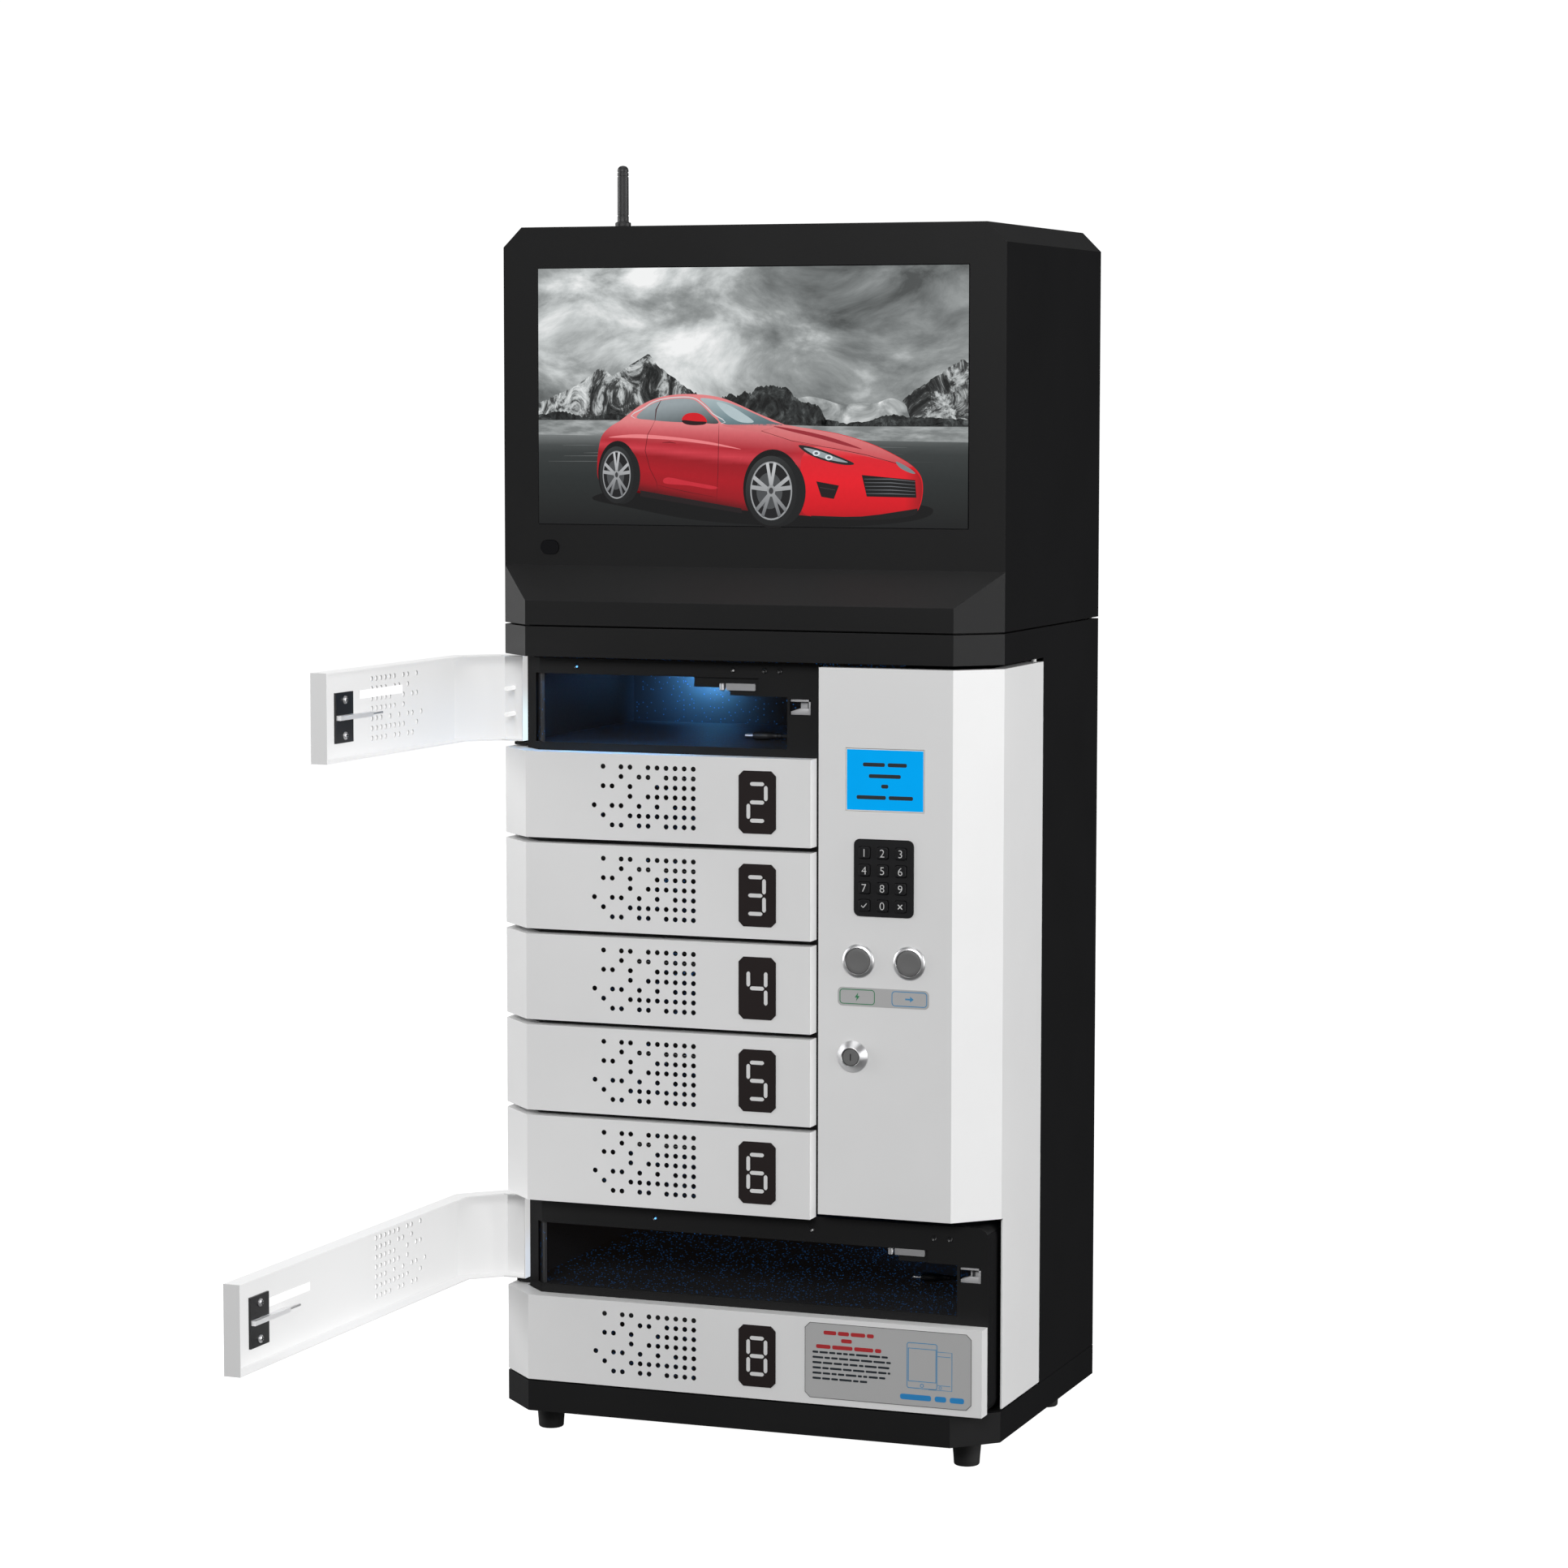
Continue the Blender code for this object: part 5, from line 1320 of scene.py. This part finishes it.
def paint_landscape(pic, wide, high):
    sky = [(0, 60), (wide, 60), (wide, high), (0, high)]
    pic.shape(sky, 0, (0, 0, 0), 1)
    far = ((0, 92), (18, 99), (30, 104), (43, 112), (52, 119), (60, 113), (70, 110), (80, 119),
           (90, 130), (95, 123), (106, 114), (118, 106), (132, 98))
    pic.shape(ridge(far, 78, 1.3, 1.1, 3), 1, (0, 0, 0), 2)
    right = ((292, 92), (300, 99), (312, 107), (322, 113), (333, 120), (340, 124), (wide, 122))
    pic.shape(ridge(right, 74, 1.2, 0.9, 5), 1, (0, 0, 0), 2)
    trees = ((150, 96), (158, 99), (162, 97), (168, 101), (174, 99), (178, 104), (190, 105),
             (204, 103), (209, 96), (216, 93), (228, 90), (236, 76))
    pic.shape(ridge(trees, 70, 1.0, 1.0, 8), 2, (0, 0, 0), 3)
    fog = [(206, 72), (208, 92), (218, 97), (232, 95), (246, 91), (258, 93), (272, 92),
           (285, 96), (296, 91), (298, 84), (300, 72)]
    pic.shape(smooth_loop(fog), 1.5, (0, 0, 0), 4)
    low = ridge(((0, 83), (20, 86), (38, 81), (60, 84), (84, 80)), 70, 1.5, 0.8, 12)
    pic.shape(low, 2, (0, 0, 0), 3)
    low = ridge(((230, 80), (250, 77), (268, 79), (284, 84), (300, 82), (wide, 80)), 60, 1.4,
                0.8, 15)
    pic.shape(low, 2, (0, 0, 0), 3)
    shore_left = [(0, 68), (wide, 62), (wide, 75), (236, 75), (170, 76), (62, 79), (0, 79)]
    pic.shape(shore_left, 3, (0, 0, 0), 5)

    def water(_, v):
        return ramp(((0, srgb(22, 23, 24)), (12, srgb(30, 32, 32)), (36, srgb(40, 44, 44)),
                     (56, srgb(54, 58, 58)), (63, srgb(78, 82, 82)), (68, srgb(120, 124, 124))),
                    v)

    pic.shape([(0, 0), (wide, 0), (wide, 63.5), (0, 68)], 3.5, water, 0, 6.0)
    rng = random.Random(21)
    for _ in range(34):
        u, v = rng.uniform(0, wide - 40), rng.uniform(46, 63)
        grey = rng.uniform(60, 112)
        reach = rng.uniform(14, 60)
        pic.line([(u, v), (u + reach / 2, v + 0.2), (min(u + reach, wide), v)], 0.4, 4,
                 srgb(grey, grey + 3, grey + 3))


RED = ((0.0, srgb(96, 8, 16)), (0.10, srgb(150, 14, 26)), (0.30, srgb(168, 16, 30)),
       (0.52, srgb(150, 16, 28)), (0.60, srgb(205, 60, 72)), (0.70, srgb(170, 32, 44)),
       (0.88, srgb(206, 96, 102)), (1.0, srgb(222, 130, 132)))


def side_red(u, v):
    """Painted flank: dark sill, a lit crease and a pale shoulder."""
    sill = 27 - 0.17 * (u - 84)
    belt = 78 - 0.02 * (u - 84)
    return blend(ramp(RED, (v - sill) / (belt - sill)), srgb(214, 18, 30), (u - 205) / 45)


def front_red(u, v):
    shade = ramp(((0, srgb(150, 8, 18)), (14, srgb(205, 14, 28)), (34, srgb(226, 22, 36)),
                  (52, srgb(214, 30, 42)), (60, srgb(224, 88, 94))), v)
    return blend(shade, srgb(150, 12, 22), (u - 296) / 14)


def hood_red(u, v):
    across = (v - (74 - 0.30 * (u - 190))) / 12
    return blend(srgb(226, 150, 150), srgb(196, 62, 70), 0.5 - across * 0.4 + (u - 200) / 160)


def glass_tone(u, v):
    return blend(srgb(52, 60, 62), srgb(150, 160, 164), (v - 76) / 20 + (150 - u) / 160)


def screen_tone(u, v):
    sky = blend(srgb(96, 122, 128), srgb(168, 184, 188), (v - 76) / 20)
    return blend(sky, srgb(70, 92, 100), (u - 150) / 70)


def ellipse(cu, cv, a, b, steps=44, start=0.0):
    return [(cu + a * math.cos(start + 2 * math.pi * i / steps),
             cv + b * math.sin(start + 2 * math.pi * i / steps)) for i in range(steps)]


def wheel(pic, cu, cv, a, b, depth):
    """Foreshortened wheel: arch, tyre, rim and five forked spokes."""
    pic.shape(ellipse(cu + depth * 0.2, cv + 1.4, a * 1.16, b * 1.13), 6, srgb(14, 13, 14))
    pic.shape(ellipse(cu + depth, cv - 0.3, a * 1.03, b), 6.4, srgb(24, 25, 26))

    def tyre(u, v):
        return blend(srgb(30, 31, 32), srgb(60, 62, 63), (v - cv) / b * 0.6 - (u - cu) / a * 0.3)

    pic.shape(ellipse(cu, cv, a, b), 6.8, tyre, 0, 5.0)
    ra, rb = a * 0.82, b * 0.84
    pic.shape(ellipse(cu, cv, ra, rb), 7.2, srgb(150, 152, 154))
    pic.shape(ellipse(cu, cv, ra * 0.93, rb * 0.94), 7.6, srgb(26, 26, 28))
    pic.shape(ellipse(cu - ra * 0.08, cv, ra * 0.62, rb * 0.62), 7.8, srgb(74, 76, 78))
    for k in range(5):
        turn = math.radians(90 + 72 * k)
        for fork in (-0.19, 0.19):
            tip = turn + fork
            shape = []
            for reach, lean in ((0.16, -0.45), (0.97, -0.075), (0.97, 0.075), (0.16, 0.45)):
                angle = (tip if reach > 0.5 else turn) + lean
                shape.append((cu + ra * reach * math.cos(angle),
                              cv + rb * reach * math.sin(angle)))

            def tone(u, v):
                return blend(srgb(92, 94, 97), srgb(196, 198, 200), 0.5 + (v - cv) / rb * 0.5)

            pic.shape(shape, 8.2, tone)
    pic.shape(ellipse(cu, cv, ra * 0.20, rb * 0.20, 20), 8.8, srgb(150, 152, 154))
    pic.shape(ellipse(cu, cv, ra * 0.11, rb * 0.11, 16), 9.2, srgb(60, 61, 63))


def paint_car(pic):
    """A plain red two-door car of no make, seen from its front corner."""
    shadow = [(44, 20), (80, 12), (130, 4), (190, 0.6), (250, 0.6), (300, 5), (318, 12),
              (300, 18), (200, 22), (90, 28)]
    pic.blob(shadow, 4.4, srgb(12, 12, 13))
    body = [(50, 33), (48.5, 46), (50, 59), (53, 68), (60, 74.5), (70, 80), (82, 89),
            (97, 95.5), (115, 98.6), (134, 98.4), (150, 96), (164, 91), (180, 84), (198, 76.5),
            (222, 73), (246, 69), (270, 62), (291, 52.5), (303, 45), (309, 37), (310, 27),
            (308, 17), (303, 11), (286, 8), (262, 7), (240, 7), (222, 8), (166, 12), (130, 17),
            (86, 25), (62, 27)]
    pic.blob(body, 4.8, side_red, 3.0)
    nose = [(216, 10), (214, 30), (214, 50), (222, 59), (238, 60), (262, 57), (284, 51),
            (301, 44), (308, 37), (309.3, 27), (307.5, 17), (303, 11.4), (286, 8.4), (262, 7.4),
            (240, 7.4)]
    pic.blob(nose, 5.2, front_red, 3.0)
    hood = [(151, 75.4), (176, 76.2), (199, 76.2), (222, 72.6), (246, 68.6), (270, 61.6),
            (290, 52.6), (302, 45.2), (286, 48.5), (262, 53.5), (236, 58.5), (214, 62.5),
            (196, 66.5), (172, 71.5)]
    pic.blob(hood, 5.6, hood_red, 3.0)
    pic.blob([(192, 75), (216, 71.5), (240, 66), (262, 58.4), (250, 60.5), (226, 66.5),
              (204, 71.5)], 5.9, srgb(150, 40, 50))
    side_glass = [(81, 81), (88, 88), (98, 93), (112, 95.3), (126, 95), (134, 90.5),
                  (141, 84), (147.5, 77), (132, 77.2), (108, 78), (92, 79.3)]
    pic.blob(side_glass, 5.6, glass_tone, 3.0)
    front_glass = [(133, 95.6), (146, 94.6), (159, 91.4), (174, 85.4), (190, 78.6), (199, 75.9),
                   (178, 75.4), (153, 76.2), (146, 82), (139, 89.5)]
    pic.blob(front_glass, 5.6, screen_tone, 3.0)
    pic.blob([(146, 92.6), (156, 90.6), (168, 84), (176, 78), (165, 78), (154, 84)], 6.0,
             srgb(176, 192, 196))
    trim = smooth_loop([(80, 80.4), (88, 88.8), (98, 94), (112, 96.3), (127, 96), (135.5, 91),
                        (142.5, 84.5), (149.5, 76.6)], 4)
    pic.line(trim[:29], 0.8, 6.4, srgb(206, 208, 210))
    pic.line([(101, 94.2), (97, 87), (96, 78.6)], 1.0, 6.4, srgb(70, 16, 22))
    dark = srgb(96, 10, 20)
    pic.line([(148, 76.5), (147.6, 60), (147.2, 40), (146, 18)], 0.45, 6.4, dark)
    pic.line([(96, 78.6), (90, 68), (88, 56), (92, 42), (97, 33), (98, 27)], 0.45, 6.4, dark)
    pic.line([(98, 30), (120, 25.6), (146, 21.2)], 0.5, 6.4, dark)
    pic.line([(199, 75.6), (182, 71.4), (206, 64.2), (230, 60.4)], 0.4, 6.4, dark)
    pic.line([(214, 62), (240, 58.6), (266, 53.8), (290, 47.6), (304, 42.2)], 0.45, 6.4, dark)
    gloss = [(58, 66), (80, 68.4), (110, 66.6), (140, 63), (166, 57.5), (140, 61), (110, 64.2),
             (80, 65.6)]
    pic.blob(gloss, 6.0, srgb(232, 128, 132))
    gloss = [(104, 31.5), (124, 30), (142, 27.4), (146, 29.2), (124, 33), (106, 36)]
    pic.blob(gloss, 6.0, srgb(196, 40, 54))
    pic.line([(102, 62.2), (108, 62.6), (113, 61.8)], 0.9, 6.8, srgb(120, 16, 26))
    sill = [(84, 26), (84, 26), (166, 13.2), (166, 13.2), (167, 9.4), (167, 9.4), (84, 21.5),
            (84, 21.5)]
    pic.blob(sill, 6.0, srgb(30, 22, 24), 0.0, 2)
    mirror = [(118, 80.2), (122, 84), (130, 84.6), (136, 82), (138, 77.6), (130, 76.2),
              (121, 77)]
    pic.blob(mirror, 6.8, srgb(206, 22, 34))
    pic.blob([(118.5, 79.2), (129, 78.4), (137.4, 78), (136, 76), (127, 75.4), (120, 76.6)],
             7.2, srgb(38, 16, 20))
    lamp = [(212, 60.8), (226, 58.8), (243, 53), (256, 47.4), (248, 46.4), (232, 49.6),
            (219, 54.6)]
    pic.blob(lamp, 6.8, srgb(34, 34, 36))
    lens = [(216, 58.8), (227, 57), (242, 51.8), (251, 48.2), (240, 49.4), (226, 53)]
    pic.blob(lens, 7.2, srgb(150, 160, 164))
    for cu, cv in ((226, 54.9), (236, 51.8)):
        pic.shape(ellipse(cu, cv, 3.0, 2.0, 18), 7.6, srgb(214, 224, 228))
        pic.shape(ellipse(cu, cv, 1.5, 1.0, 14), 8.0, srgb(90, 100, 106))
    pic.blob([(289, 49.2), (298, 45.2), (304, 40.6), (300, 40.8), (292, 44.6)], 6.8,
             srgb(120, 128, 132))
    grille = [(262, 39), (262, 39), (304, 35.5), (304, 35.5), (305, 22.5), (305, 22.5),
              (266, 23), (266, 23)]
    pic.blob(grille, 6.8, srgb(20, 20, 22), 0.0, 2)
    for k in range(5):
        v = 25.2 + 2.7 * k
        pic.line([(265.5 - 0.4 * k, v), (285, v + 0.1), (304, v - 0.5 - 0.28 * k)], 0.7, 7.2,
                 srgb(104, 106, 110))
    vent = [(226, 34), (226, 34), (244, 31), (244, 31), (240, 21), (240, 21), (230, 22.5),
            (230, 22.5)]
    pic.blob(vent, 6.8, srgb(28, 18, 20), 0.0, 2)
    pic.line([(229, 29.5), (241, 27.6)], 0.6, 7.2, srgb(84, 70, 74))
    lip = [(222, 8.4), (222, 8.4), (262, 8.2), (306, 14.5), (306, 14.5), (304, 9.8),
           (286, 6.6), (262, 5.4), (222, 6.4), (222, 6.4)]
    pic.blob(lip, 6.8, srgb(22, 20, 21), 0.0, 3)
    wheel(pic, 64.5, 37.6, 14.0, 21.6, 5.0)
    wheel(pic, 190, 26.6, 20.5, 26.2, 6.5)


def screen_picture():
    """Lit display area: a plain red car before a grey lake and mountain view."""
    left, right, bottom, top = -0.1726, 0.1724, 0.7063, 0.9000
    pic = Picture(left, bottom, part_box("display_panel")[0].y - 0.0001)
    paint_landscape(pic, (right - left) / MM, (top - bottom) / MM)
    paint_car(pic)
    M["paint"] = paint_material()
    M["sky"] = tone_material(
        "sky_tones", 13.0, (0.8, 1, 1.5), 10.0, 0.60,
        ((0.36, (74, 77, 77)), (0.47, (118, 122, 122)), (0.56, (150, 154, 154)),
         (0.66, (200, 204, 204)), (0.76, (240, 241, 241))),
        ((-0.055, -0.108, 0.850), (0.15, 0.15, 0.085), 0.5), 0.26, 0.5)
    M["rock"] = tone_material(
        "rock_tones", 62.0, (1.0, 1, 0.7), 8.0, 0.72,
        ((0.40, (22, 24, 24)), (0.49, (64, 66, 66)), (0.56, (168, 172, 172)),
         (0.66, (222, 225, 225))), warp=1.2)
    M["wood"] = tone_material(
        "wood_tones", 120.0, (1, 1, 0.8), 7.0, 0.7,
        ((0.42, (16, 17, 17)), (0.55, (50, 53, 53)), (0.70, (104, 108, 108))), warp=0.6)
    M["fog"] = tone_material(
        "fog_tones", 34.0, (1, 1, 1.4), 7.0, 0.55,
        ((0.36, (112, 116, 116)), (0.52, (176, 180, 180)), (0.66, (230, 232, 232))), warp=0.9)
    M["shore"] = tone_material(
        "shore_tones", 90.0, (0.5, 1, 2.2), 6.0, 0.6,
        ((0.40, (122, 126, 126)), (0.60, (158, 162, 162)), (0.72, (178, 182, 182))))
    finish_piece("screen_picture", pic.mesh, ("paint", "sky", "rock", "wood", "fog", "shore"),
                 "cabinet")


def main():
    make_materials()
    add_camera()
    charge_leads()
    add_world()
    add_lights()
    add_floor()
    dress_cad()
    add_skins()
    for number in range(1, 9):
        door_skin(number)
        number_plate(number)
        striker_details(number)
        locker_hardware(number)
    door_sticker()
    key_legends()
    lcd_face()
    button_label()
    buttons_and_lock()
    antenna()
    feet()
    rear_details()
    screen_picture()
    bpy.context.scene.view_settings.view_transform = "Standard"


main()
